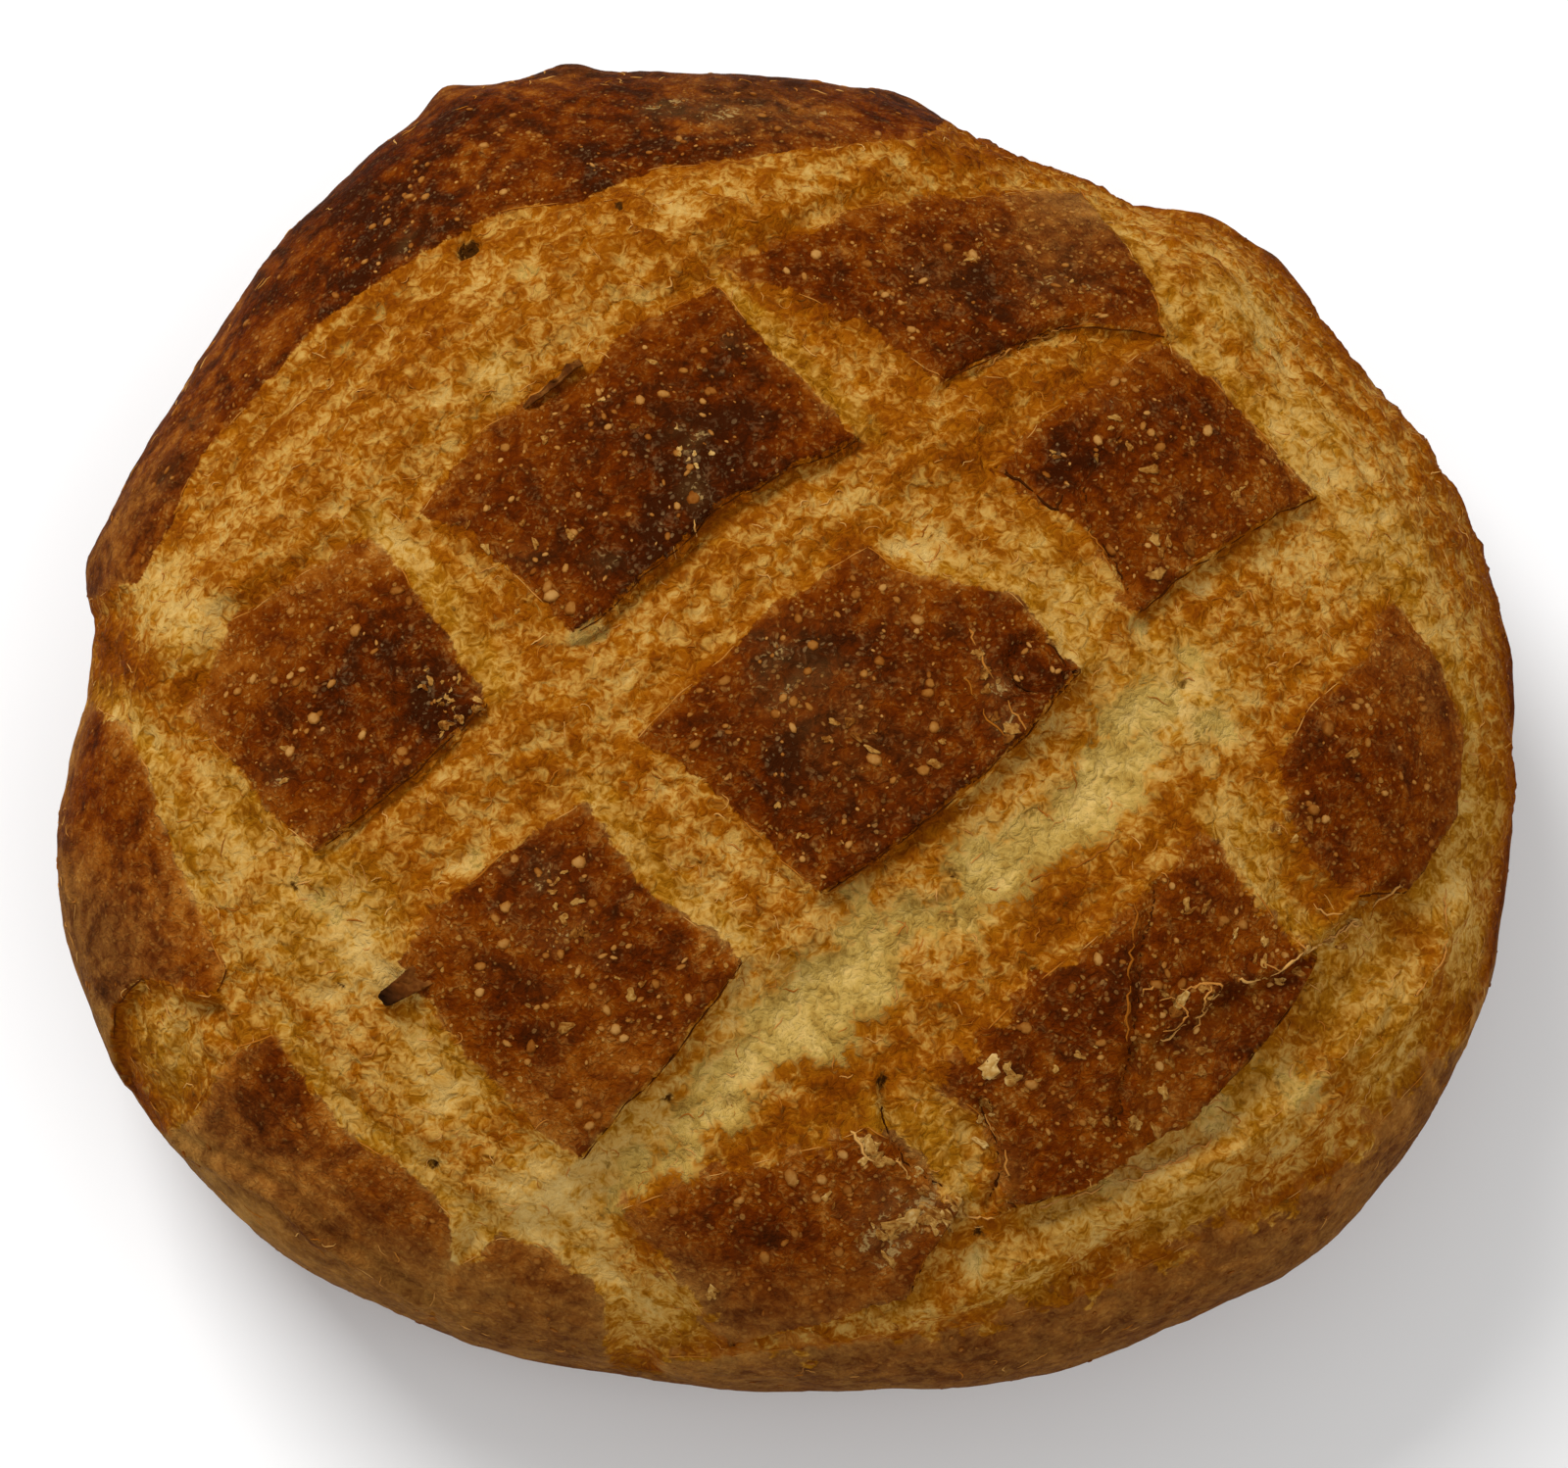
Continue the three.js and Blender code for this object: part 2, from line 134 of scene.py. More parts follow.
# What only the looks need.
LONG_CUTS_ANGLE = math.radians(37)  # the cuts that run from front left to back right
CROSS_CUTS_ANGLE = math.radians(-49)
CUT_STRETCH = 3.2  # how far torn dough is drawn out along the cuts
LONG_CUTS = [  # their middle lines
    [(-96, 1), (-78, 21), (-50, 46), (-26, 62), (-6, 76), (20, 96), (52, 118)],
    [(-83, -42), (-67, -36), (-37, -14), (-7, 8), (10, 24), (29, 34), (47, 50)],
    [(-38, -91), (-18, -74), (-2, -56), (27, -33), (44, -16), (64, -8), (81, 8), (102, 26)],
    [(-8, -127), (30, -100), (52, -84), (72, -62), (86, -48), (108, -27)],
]
CROSS_CUTS = [
    [(-110, -6), (-92, -25), (-80, -40), (-70, -58), (-58, -75), (-42, -90), (-25, -112)],
    [(-61, 18), (-50, 2), (-34, -11), (-14, -37), (-2, -52), (11, -63), (18, -76), (32, -94)],
    [(-10, 58), (7, 46), (23, 29), (40, 10), (45, 0), (59, -14), (68, -32), (74, -42)],
    [(50, 123), (61, 96), (68, 66), (81, 38), (90, 20), (100, 12), (112, -8), (118, -26)],
]
CRUMB_PATCHES = [  # torn pale crumb: place and radius
    (48, -14, 4.1), (46, -22, 5.7), (41, -28, 4.7), (35, -32, 4.4), (29, -37, 6), (26, -44, 3.5),
    (18, -46, 2.8), (12, -50, 4.4), (11, -57, 5.7), (4, -60, 6.9), (5, -66, 5), (-3, -66, 6),
    (-8, -71, 3.9), (-12, -74, 4.4), (-10, -78, 3.5), (-17, -80, 3.5), (-18, -86, 3.1), (-26, -88, 3.8),
    (-30, -93, 2.2), (53, -11, 4), (51, -19, 3.4), (63, -14, 3), (60, -4, 2), (-6, -65, 3.8),
    (21, -46, 3),
]
CRUMB_SHADES = [  # place, radius and how much darker the pale crumb is there
    (38, -24, 3, 0.3), (26, -46, 2.6, 0.4), (21, -38, 4, 0.3), (-4, -68, 5, -0.4), (-14, -76, 4, -0.3),
    (44, -24, 5, -0.5), (8, -60, 5, -0.3), (0, -64, 5, -0.4), (30, -38, 4, -0.3), (53, -12, 6, -0.3),
]
YELLOW_PATCHES = [  # smooth yellow dough that opened last: place and radius
    (-82, -26, 9), (-67, -42, 11), (-52, -66, 9), (-38, -91, 11), (-26, -82, 8), (-54, 3, 5),
    (-46, -8, 4), (-18, -50, 6), (-24, -37, 4), (42, 4, 5), (37, 12, 3), (83, 38, 8), (94, 17, 9),
    (102, 0, 6), (103, -35, 9), (86, -52, 11), (69, -69, 9), (44, -89, 8), (15, -108, 6), (23, -80, 6),
    (66, -31, 6), (88, 120, 6), (-45, 40, 3.5), (-102, 12, 5), (-94, 2, 4), (57, -9, 9), (61, -87, 9),
    (-22, -116, 8), (-50, -95, 6), (37, -104, 7), (113, -47, 9), (94, -62, 9), (111, -26, 9),
    (-56, -102, 6), (76, 62, 8), (-100, -62, 8),
]
HOLLOWS = [  # shallow olive hollows: place and radius
    (-66, 55, 1.7), (-62.5, 58.5, 1.2), (-72, 50, 1.7), (-31, -1, 3.1), (-46, -34, 2.2), (64, -72, 3.5),
    (30, -101, 2.2), (77, -67, 3.5), (70, -64, 1.6), (10, -43, 2.2), (30, 2, 2.2), (79, 54, 1.9),
    (52, 0, 2.2), (-67, -40, 2.2), (26, -46, 2.4), (-40, 56, 2), (95, -30, 3), (50, -86, 3),
]
PORES = [  # place, radius and depth
    (-50.6, 64.2, 2, 3.4), (14, -72.5, 1, 1.6), (36, -52, 0.8, 1), (-56, -82, 0.9, 1.4),
    (-66, -52, 0.8, 1), (32, 143, 1, 1.4), (-27, 70, 0.8, 1), (-72, -37, 0.8, 1), (58, -8, 0.9, 1.2),
    (30, -96, 0.9, 1), (-10, -78, 1.2, 1.6), (-20, -76, 0.8, 1), (24, -38, 1, 1), (28, -40, 1.4, 0.8),
]
CREASES = [  # line, width, groove depth and the height of the ridge left of it
    ([(-39, 35), (-35, 37.5), (-31, 40)], 0.7, 0.8, 0.7),
    ([(26, 44), (32, 48), (40, 52), (50, 56)], 0.7, 1.4, 0.3),
    ([(52, 32), (48, 27), (45, 22), (46, 15), (50, 6)], 0.7, 0.9, 0.4),
    ([(52, -38), (50, -49), (50, -61), (49, -76)], 0.8, 1.3, 0.9),
    ([(50, -62), (54, -61), (58, -58), (61, -55), (62, -53)], 0.8, 0.9, 1),
    ([(61, -54), (70, -51), (78, -46), (86, -40), (91, -35)], 1, 1, 1.4),
    ([(-47, -15), (-52, -12), (-57, -9)], 0.8, 0.8, 0.9),
    ([(28.5, -74), (31.5, -79.5), (32.5, -85.5), (31, -91)], 0.8, 1.2, 0.9),
    ([(23.5, -88.5), (18, -85.5), (14.5, -79.5), (14, -73.5)], 0.8, 1.2, 0.9),
    ([(98, -44), (91, -56), (80, -68), (71, -80), (58, -93), (44, -106)], 1.4, 0.8, 1.3),
    ([(66, -75), (56, -81), (50, -85), (41, -92)], 1.2, 0.7, 1.4),
    ([(-97, -62), (-93, -55), (-87, -54), (-84, -60)], 1.4, 0.8, 0.9),
    ([(-96, 20), (-81, 45), (-68, 56)], 1, 0.8, 0.5),
    ([(-64, -108), (-68.5, -99.5), (-76, -93), (-80, -84.5), (-90, -80), (-101, -76.5)], 1.4, 0.7, 0.9),
]
SIDE_YELLOW_AND_SHEEN = 0.9  # how far the skin of the side turns from red brown to yellow brown, with a painted grey sheen
YELLOWED_SKIN = [  # place, radius and how far the skin turns yellow brown there, with the side's painted grey sheen
    (54, 88, 12, 0.6), (-6, 145, 16, 0.5), (-40, 128, 20, 0.35), (-107, 28, 10, 0.3),
    (-108, -46, 10, 0.3), (-8, 104, 14, 0.5), (48, 72, 9, 0.4), (30, 66, 8, 0.2), (-20, -110, 9, 0.6),
    (-108, -84, 14, 0.3), (30, -86, 7, 0.4), (6, -18, 12, 0.3), (98, -4, 8, 0.3), (-114, -18, 13, -0.4),
]
PLAIN_SKIN = [(-10, 38, 10, 0.6), (-28, -76, 11, 0.5), (62, 46, 8, 0.4)]  # with fewer freckles
RINGS = [(35.5, -7, 4.2, 1.1), (-87.5, -58.5, 4.6, 0.6)]  # rims of burst bubbles: place, radius and depth

# The mesh.
TOP_STEP = 0.84
SIDE_STEP = 1.7
BASE_STEP = 5
BASE_RINGS = [0.97, 0.9, 0.8, 0.7, 0.6, 0.5, 0.4, 0.3, 0.2, 0.1]  # shares of the base's radius
STEP_CHANGE = (122, 152)  # crust distances between which the step grows
SNAP_SHARE = 0.42  # how much of a step a vertex may lie from an edge to be moved onto it
FRECKLE_FADE = (84, 122)  # crust distances between which freckles and blisters grow fewer


def smoothstep(start, end, x):
    t = np.clip((x - start) / (end - start), 0, 1)
    return t * t * (3 - 2 * t)


def lerp(a, b, t):
    return a + (b - a) * t


def bell(x, width):
    return np.exp(-(x / width) ** 2)


def turns(count):
    """Evenly spaced angles all the way round."""
    return np.arange(count) / count * 2 * np.pi


# --- Noise ---

def gradient_table(seed):
    random = np.random.default_rng(seed)
    gradients = random.normal(size=(256, 3))
    gradients /= np.linalg.norm(gradients, axis=1)[:, None]
    return random.permutation(256), gradients


def noise(points, size, seed):
    """Smooth noise from about -1 to 1, with lumps about size millimetres across."""
    order, gradients = gradient_table(seed)
    points = points / size
    cell = np.floor(points).astype(np.int64)
    part = points - cell
    weight = part ** 3 * (part * (part * 6 - 15) + 10)
    total = 0
    for corner in np.ndindex(2, 2, 2):
        x, y, z = (cell + corner).T & 255
        gradient = gradients[order[(order[(order[x] + y) & 255] + z) & 255]]
        value = ((part - corner) * gradient).sum(1)
        share = np.where(corner, weight, 1 - weight).prod(1)
        total = total + share * value
    return total * 1.6


def layered_noise(points, size, seed, layers=3, fade=0.5):
    return sum(noise(points, size * 0.5 ** k, seed + k) * fade ** k for k in range(layers))


def moved(places, size, reach, seed):
    """Places pushed about by noise, so the forms worked out on them are uneven."""
    return places + reach * np.stack([noise(places, size, seed + k) for k in range(3)], 1)


def along_cut(u, v, angle, stretch):
    """Crust places with the direction of a cut pulled together, so noise on them is drawn out along it."""
    along = (u * math.cos(angle) + v * math.sin(angle)) / stretch
    across = v * math.cos(angle) - u * math.sin(angle)
    return np.stack([along, across, np.zeros_like(u)], 1)


# --- The smooth loaf ---

def outline_radius(angle):
    """Radius at the bulge in a direction: a smooth closed curve through OUTLINE."""
    radii = np.array(OUTLINE, float)
    count = len(radii)
    place = angle / (2 * np.pi) * count % count
    start = np.floor(place).astype(int)
    t = place - start
    a, b, c, d = (radii[(start + k) % count] for k in (-1, 0, 1, 2))
    return 0.5 * (2 * b + (c - a) * t + (2 * a - 5 * b + 4 * c - d) * t ** 2
                  + (3 * b - a - 3 * c + d) * t ** 3)


def make_profile():
    """Crust distance, radius and height down the mean profile, from the crown to the base's edge."""
    turn = np.radians(np.linspace(90, -75, 3000))
    cos, sin = np.cos(turn), np.sin(turn)
    rise = np.where(turn >= 0, CROWN_RISE, UNDER_DROP)
    power = np.where(turn >= 0, CROWN_POWER, UNDER_POWER)
    reach = ((cos / MEAN_RADIUS) ** power + (np.abs(sin) / rise) ** power) ** (-1 / power)
    radius, height = reach * cos, BULGE_HEIGHT + reach * sin
    keep = height > 0
    radius, height = np.append(radius[keep], radius[~keep][0]), np.append(height[keep], 0)
    distance = np.append(0, np.cumsum(np.hypot(np.diff(radius), np.diff(height))))
    return distance, radius, height


PROFILE_DISTANCE, PROFILE_RADIUS, PROFILE_HEIGHT = make_profile()
CRUST_LENGTH = PROFILE_DISTANCE[-1]
BASE_RADIUS = PROFILE_RADIUS[-1]


def on_profile(distance):
    """Radius and height at a crust distance, and the two parts of the way the crust faces there."""
    radius = np.interp(distance, PROFILE_DISTANCE, PROFILE_RADIUS)
    height = np.interp(distance, PROFILE_DISTANCE, PROFILE_HEIGHT)
    ahead = np.minimum(distance + 0.5, CRUST_LENGTH)
    behind = np.maximum(ahead - 1, 0)
    across = np.interp(ahead, PROFILE_DISTANCE, PROFILE_RADIUS)
    across = across - np.interp(behind, PROFILE_DISTANCE, PROFILE_RADIUS)
    down = np.interp(behind, PROFILE_DISTANCE, PROFILE_HEIGHT)
    down = down - np.interp(ahead, PROFILE_DISTANCE, PROFILE_HEIGHT)
    length = np.hypot(across, down)
    return radius, height, down / length, across / length


def in_space(u, v, rise):
    """Crust places in space, rise millimetres above the smooth loaf."""
    distance = np.minimum(np.hypot(u, v), CRUST_LENGTH)
    angle = np.arctan2(v, u)
    radius, height, out, up = on_profile(distance)
    radius = radius * outline_radius(angle) / MEAN_RADIUS + out * rise
    height = np.maximum(height + up * rise, 0)
    return np.stack([radius * np.cos(angle), radius * np.sin(angle), height], 1)


# --- The skin and the cuts ---

def to_segment(start, end, u, v):
    """The nearest point of a segment, and on which side of it each place lies."""
    du, dv = end[0] - start[0], end[1] - start[1]
    t = np.clip(((u - start[0]) * du + (v - start[1]) * dv) / (du * du + dv * dv), 0, 1)
    side = du * (v - start[1]) - dv * (u - start[0])
    return start[0] + t * du, start[1] + t * dv, side


def to_outline(outline, u, v):
    """Signed distance to a closed outline (negative inside) and the way its nearest edge faces."""
    inside = np.zeros(len(u), bool)
    least = np.full(len(u), np.inf)
    near_u, near_v = np.zeros(len(u)), np.zeros(len(u))
    for start, end in zip(outline[-1:] + outline[:-1], outline):
        pu, pv, _ = to_segment(start, end, u, v)
        squared = (u - pu) ** 2 + (v - pv) ** 2
        closer = squared < least
        least = np.where(closer, squared, least)
        near_u, near_v = np.where(closer, pu, near_u), np.where(closer, pv, near_v)
        if start[1] != end[1]:
            crosses = (start[1] > v) != (end[1] > v)
            slope = (end[0] - start[0]) / (end[1] - start[1])
            inside ^= crosses & (u < start[0] + (v - start[1]) * slope)
    sign = np.where(inside, -1, 1)
    gap = np.sqrt(least) + 1e-9
    return sign * gap, sign * (u - near_u) / gap, sign * (v - near_v) / gap


def skin_pieces(u, v):
    """Distance to every piece of skin and the way its nearest edge faces, piece by piece."""
    found = [to_outline(outline, u, v) for outline in TILES + SHOULDERS]
    reach = np.hypot(u, v) + 1e-9
    found.append((SIDE_START - reach, -u / reach, -v / reach))
    return [np.array(rows) for rows in zip(*found)]


def wobbled(u, v):
    """Crust places moved a little, so the edges of the skin are ragged."""
    places = np.stack([u, v, np.zeros_like(u)], 1)
    shift_u = 0.7 * noise(places, 10, 11) + 0.3 * noise(places, 3.5, 12)
    shift_v = 0.7 * noise(places, 10, 13) + 0.3 * noise(places, 3.5, 14)
    return u + shift_u, v + shift_v


def nearest_skin(u, v):
    distance, facing_u, facing_v = skin_pieces(*wobbled(u, v))
    pick = np.abs(distance).argmin(0), np.arange(len(u))
    return distance[pick], facing_u[pick], facing_v[pick]


def line_distance(line, u, v):
    """Distance to an open line, positive left of it and negative right of it."""
    least = np.full(len(u), np.inf)
    side = np.ones(len(u))
    for start, end in zip(line[:-1], line[1:]):
        pu, pv, where = to_segment(start, end, u, v)
        gap = np.hypot(u - pu, v - pv)
        closer = gap < least
        least = np.where(closer, gap, least)
        side = np.where(closer, np.sign(where), side)
    return least, side


def bumps(rows, u, v):
    total = np.zeros(len(u))
    for place_u, place_v, radius, height in rows:
        total += height * np.exp(-((u - place_u) ** 2 + (v - place_v) ** 2) / radius ** 2)
    return total


def patches(rows, u, v, border):
    """How far into the nearest of some round patches each place lies, from 0 outside to 1."""
    inside = np.full(len(u), -np.inf)
    for place_u, place_v, radius in rows:
        inside = np.maximum(inside, radius - np.hypot(u - place_u, v - place_v))
    return smoothstep(-border, border, inside)


def in_cross_cut(u, v):
    """1 where the nearest cut runs from front right to back left, and 0 where it is a long one."""
    long_gap = np.min([line_distance(line, u, v)[0] for line in LONG_CUTS], axis=0)
    cross_gap = np.min([line_distance(line, u, v)[0] for line in CROSS_CUTS], axis=0)
    return smoothstep(-3, 3, long_gap - cross_gap)


class Crust:
    """Everything about some crust places that the relief and the colours are worked out from."""

    def __init__(self, u, v):
        self.u, self.v = u, v
        self.reach = np.hypot(u, v)
        distance, facing_u, facing_v = skin_pieces(*wobbled(u, v))
        pick = distance.argmin(0), np.arange(len(u))
        self.edge = distance[pick]  # negative on the skin, positive in a cut
        self.piece = pick[0]
        facing = facing_u * LIP_FACING[0] + facing_v * LIP_FACING[1]
        strength = np.array(TILE_LIPS + SHOULDER_LIPS + [0])[:, None]
        self.all_lips = np.clip(facing, 0, 1) * strength
        self.all_distances = np.maximum(distance, 0)
        self.lip = self.all_lips[pick]
        self.faces_back_left = np.clip(-facing, 0, 1)[pick]
        self.faces_back_right = ((facing_u + facing_v) * math.sqrt(0.5))[pick]
        self.in_cross = in_cross_cut(u, v)
        self.places = in_space(u, v, np.zeros_like(u))
        self.coarse = layered_noise(self.places, 17, 61, 2)
        self.lumps = layered_noise(moved(self.places, 6, 2.5, 81), 5.5, 64, 2, 0.6)
        self.fine = noise(moved(self.places, 3, 1, 84), 2.3, 67)
        self.swirl = layered_noise(moved(self.places, 10, 7, 90), 4.5, 93, 2, 0.6)
        long = along_cut(u + self.swirl, v - self.swirl, LONG_CUTS_ANGLE, CUT_STRETCH)
        cross = along_cut(u + self.swirl, v + self.swirl, CROSS_CUTS_ANGLE, CUT_STRETCH)
        self.drawn = lerp(layered_noise(long, 3.6, 51, 2, 0.8), layered_noise(cross, 3.6, 54, 2, 0.8),
                          self.in_cross)
        ragged = 3 * self.lumps * (1 - 0.5 * self.in_cross)
        self.crumb = patches(CRUMB_PATCHES, u + 0.8 * ragged, v + 0.6 * ragged, 2.8)
        yellow = np.maximum(patches(YELLOW_PATCHES, u, v, 5), patches(CRUMB_PATCHES, u, v, 6))
        # Painted light: the side of each cross cut next to a skin edge facing back right is painted paler and
        # yellower, as if lit.
        lit_cross_side = self.in_cross * np.clip(self.faces_back_right, 0, 1) * smoothstep(6.5, 3, self.edge)
        self.yellow = np.clip(0.75 * yellow + 0.75 * lit_cross_side * (1 - yellow) + 0.1 * self.swirl, 0, 1)
        in_front = smoothstep(60, -60, v)
        # The side's skin turns yellow brown and takes a painted grey sheen.
        rim = SIDE_YELLOW_AND_SHEEN * (0.75 + 0.25 * in_front) * smoothstep(104 - 10 * in_front, 140, self.reach)
        rim *= 1 - 0.5 * smoothstep(144, 172, self.reach)
        rim = np.clip(rim + bumps(YELLOWED_SKIN, u, v) + 0.25 * self.swirl, 0, 1)
        self.black = bumps(BLACK_SPOTS, u + 4 * self.lumps, v + 4 * self.coarse)
        self.yellow = np.where(self.edge < 0, rim, self.yellow)
        self.hollow = patches(HOLLOWS, u + ragged * 0.4, v - ragged * 0.4, 0.8)
        self.pore = patches([row[:3] for row in PORES], u + 0.5 * self.fine, v, 0.5)


def unevenness(c):
    slow = sum(rise * np.sin(c.u / along + c.v / across + start) for rise, along, across, start in WAVES)
    return slow + 0.55 * layered_noise(c.places, 22, 31, 2)


def skin_edge_height(lip, inset):
    return (LIP_LIFT * lip * np.exp(-inset / LIP_WIDTH)
            - EDGE_ROLL * (1 - lip) * np.exp(-inset / EDGE_ROLL_WIDTH))


def skin_texture(c):
    crinkled = np.minimum(c.black / 0.1, 1) * (0.3 - np.abs(c.fine))
    return 0.22 * layered_noise(c.places, 7, 41, 3, 0.6) + 0.1 * c.fine + 0.8 * crinkled


def torn_texture(c):
    """Dough drawn out along the cuts as they opened."""
    puffs = 0.35 - np.abs(c.lumps)
    rough = 1 - 0.45 * c.yellow - 0.3 * c.crumb * (1 - c.yellow)
    return rough * (0.5 * c.drawn + 0.8 * puffs + 0.4 * c.swirl + 0.18 * c.fine) + 0.7 * c.coarse


def add_along_lines(values, rows, c):
    """Adds each row's amount to the values along its line, fading out over its width."""
    for line, width, amount in rows:
        values += amount * bell(line_distance(line, c.u, c.v)[0], width)


def cut_height(c):
    height = -CUT_DEPTH - (UNDERCUT * c.all_lips * np.exp(-c.all_distances / UNDERCUT_WIDTH)
                           * (c.all_distances < 30)).sum(0)
    height -= CRACK_DEPTH * c.lip * bell(c.edge - CRACK_OUT, CRACK_WIDTH)
    add_along_lines(height, SWELLINGS, c)
    return height + torn_texture(c) - 0.9 * c.crumb - 0.9 * c.hollow


def crease_height(c):
    total = np.zeros(len(c.u))
    for line, width, depth, ridge in CREASES:
        gap, side = line_distance(line, c.u + 0.5 * c.lumps, c.v + 0.5 * c.fine)
        total -= depth * bell(gap, width)
        total += ridge * bell(gap * side - 1.8 * width, 1.2 * width) * (gap < 6 * width)
    for ring_u, ring_v, radius, depth in RINGS:
        out = np.hypot(c.u - ring_u, c.v - ring_v) + 0.6 * c.lumps - radius
        total += 0.5 * depth * bell(out - 1.4, 0.8) - depth * bell(out, 0.6)
    return total


def relief(c):
    common = unevenness(c) + bumps(KNOBS, c.u, c.v) + crease_height(c)
    common -= bumps(PORES, c.u, c.v)
    skin = skin_edge_height(c.lip, np.maximum(-c.edge, 0)) + skin_texture(c)
    drop_width = lerp(SOFT_DROP_WIDTH, LIP_DROP_WIDTH, smoothstep(0, 0.5, c.lip))
    opened = smoothstep(0, 1, c.edge / drop_width)
    height = common + lerp(skin, cut_height(c), opened)
    return height * (1 - smoothstep(SIDE_START + RELIEF_FADE, CRUST_LENGTH, c.reach))


# --- Colour, as how far each place has baked: 0 is pale crumb, 1 is burnt ---

SKIN_SPOTS = [  # place, radius and how much darker (or lighter)
    (-44, 31, 3, 0.1), (-48, 26, 8, -0.06), (-9, 44, 7, 0.14), (-8, 34, 7, 0.13), (-15, 23, 9, 0.15),
    (-25, 10, 8, 0.12), (-13, -20, 3, 0.12), (2, -6, 10, 0.08), (-3, -26, 8, 0.12), (34, -8, 6, 0.1),
    (10, 6, 4, 0.08), (18, 6, 8, -0.1), (-68, -9, 7, 0.12), (-60, -2, 6, 0.1), (-52, -9, 5, 0.1),
    (-70, 10, 8, -0.16), (-84, -2, 9, -0.1), (-67, -28, 5, -0.1), (-35, -36, 9, 0.08),
    (-48, -46, 3, -0.14), (-34, -47, 6, -0.06), (-25, -50, 8, 0.07), (-42, -60, 8, 0.1),
    (-34, -76, 10, -0.16), (-24, -66, 8, -0.1), (43, 28, 5, 0.12), (64, 38, 9, 0.08), (58, 50, 8, -0.1),
    (34, 66, 9, 0.1), (54, 88, 11, -0.22), (92, 2, 8, -0.1), (77, -16, 9, 0.12), (64, -45, 8, -0.08),
    (49, -59, 4, -0.1), (40, -55, 8, 0.13), (60, -69, 11, -0.12), (34, -88, 5, -0.1), (-11, -96, 9, 0.12),
    (-24, -94, 6, -0.16), (13, -108, 8, -0.07), (-6, -112, 12, -0.06), (-8, 88, 4, 0.1),
    (-8, 104, 10, -0.08), (-20, 134, 18, 0.08), (13, -83, 5, 0.12), (-68, 85, 18, 0.08),
    (-91, 43, 10, -0.12), (-110, 32, 11, -0.14), (-116, -8, 4, 0.18), (-104, -14, 8, -0.1),
    (-119, -20, 10, 0.14), (-101, -26, 6, -0.06), (-109, -42, 10, 0.18), (-115, -54, 6, -0.22),
    (-92, -40, 12, -0.06), (-92, -90, 11, -0.22), (-80, -67, 8, 0.06), (-61, -89, 8, 0.08),
    (-49, -105, 5, -0.12), (-62, -118, 12, -0.06),
]
CUT_SPOTS = [  # the same for the dough in the cuts
    (-45, 34, 3, 0.12), (-45, 40, 3.5, -0.14), (-54, 34, 6, -0.06), (8, 46, 6, 0.06), (15, 35, 9, 0.07),
    (34, 6, 4, 0.05), (-16, -21, 3, 0.08), (-24, -18, 5, -0.08), (-18, -29, 5.5, -0.13),
    (-10, -39, 6, -0.11), (-62, -37, 6, 0.13), (-62, -48, 6, -0.11), (40, -39, 7, 0.13),
    (-116, -8, 4, 0.1), (-8, 86, 4, 0.1), (116, -58, 5, 0.14), (92, 102, 5, 0.08), (126, -2, 9, 0.08),
    (102, 64, 8, 0.07), (68, 56, 6, -0.1), (76, 62, 5, -0.06), (15, 20, 5, -0.09), (20, 10, 5, -0.22),
    (3, -51, 6, -0.12), (-9, -65, 6, -0.14), (-28, -85, 5, -0.17), (-18, -78, 6, -0.1),
    (20, -42, 5, -0.11), (28, -59, 4, -0.08), (20, -60, 7, 0.08), (-64, -31, 3, -0.1),
    (-64, -25, 6, 0.06), (-58, -52, 6, -0.14), (-30, -130, 5, -0.1), (30, -86, 4, -0.09),
    (-72, 29, 5, 0.05), (75, -4, 5, 0.09), (70, 9, 5, 0.05), (86, -47, 7, 0.1), (62, -86, 8, -0.06),
    (60, -22, 6, 0.05), (85, 9, 7, -0.06), (43, -4, 3.5, -0.1), (-15, 4, 8, 0.08), (-52, -28, 6, 0.1),
    (-18.5, 70, 4, -0.14), (-22, 66, 8, 0.08), (-102, 10, 7, -0.16), (-92, 4, 5, -0.22),
    (-44, -34, 4, -0.16), (-50, -70, 6, -0.11), (-38, -89, 9, -0.16), (-23, -109, 9, -0.12),
    (90, 30, 10, -0.07), (4, -72, 6, 0.13), (60, -11, 9, -0.17), (-60, 50, 9, 0.13), (-37, 64, 8, 0.08),
    (-38, 48, 5, -0.07), (-45, 0, 5, 0.09), (-53, -98, 7, -0.14),
]
BLACK_SPOTS = [  # place, radius and how burnt
    (-13, 24, 7, 0.17), (-10, 45, 6, 0.06), (-24, 8, 8, 0.07), (42, 27, 4.6, 0.12), (46, 31, 3, 0.07),
    (37, 71, 7, 0.07), (50, 66, 6, 0.06), (31, 56, 7, 0.05), (3, -6, 7, 0.07), (6, -16, 6, 0.04),
    (34.5, -8, 4.4, 0.06), (-52, -9, 5, 0.12), (-46, -14, 4, 0.12), (-38, -37, 7, 0.05),
    (-24, -58, 8, 0.05), (-14, -70, 5, 0.05), (-92, -48, 4, 0.08), (-88, -53, 3, 0.10),
    (-59, -53, 4, 0.12), (76, -22, 6, 0.05), (43, -54, 6, 0.05), (48, -50, 3, 0.06), (-2, -97, 8, 0.05),
    (-28, 64, 4, 0.05), (-62, 70, 8, 0.05), (-110, 40, 9, 0.03), (34, -24, 5, 0.04),
]
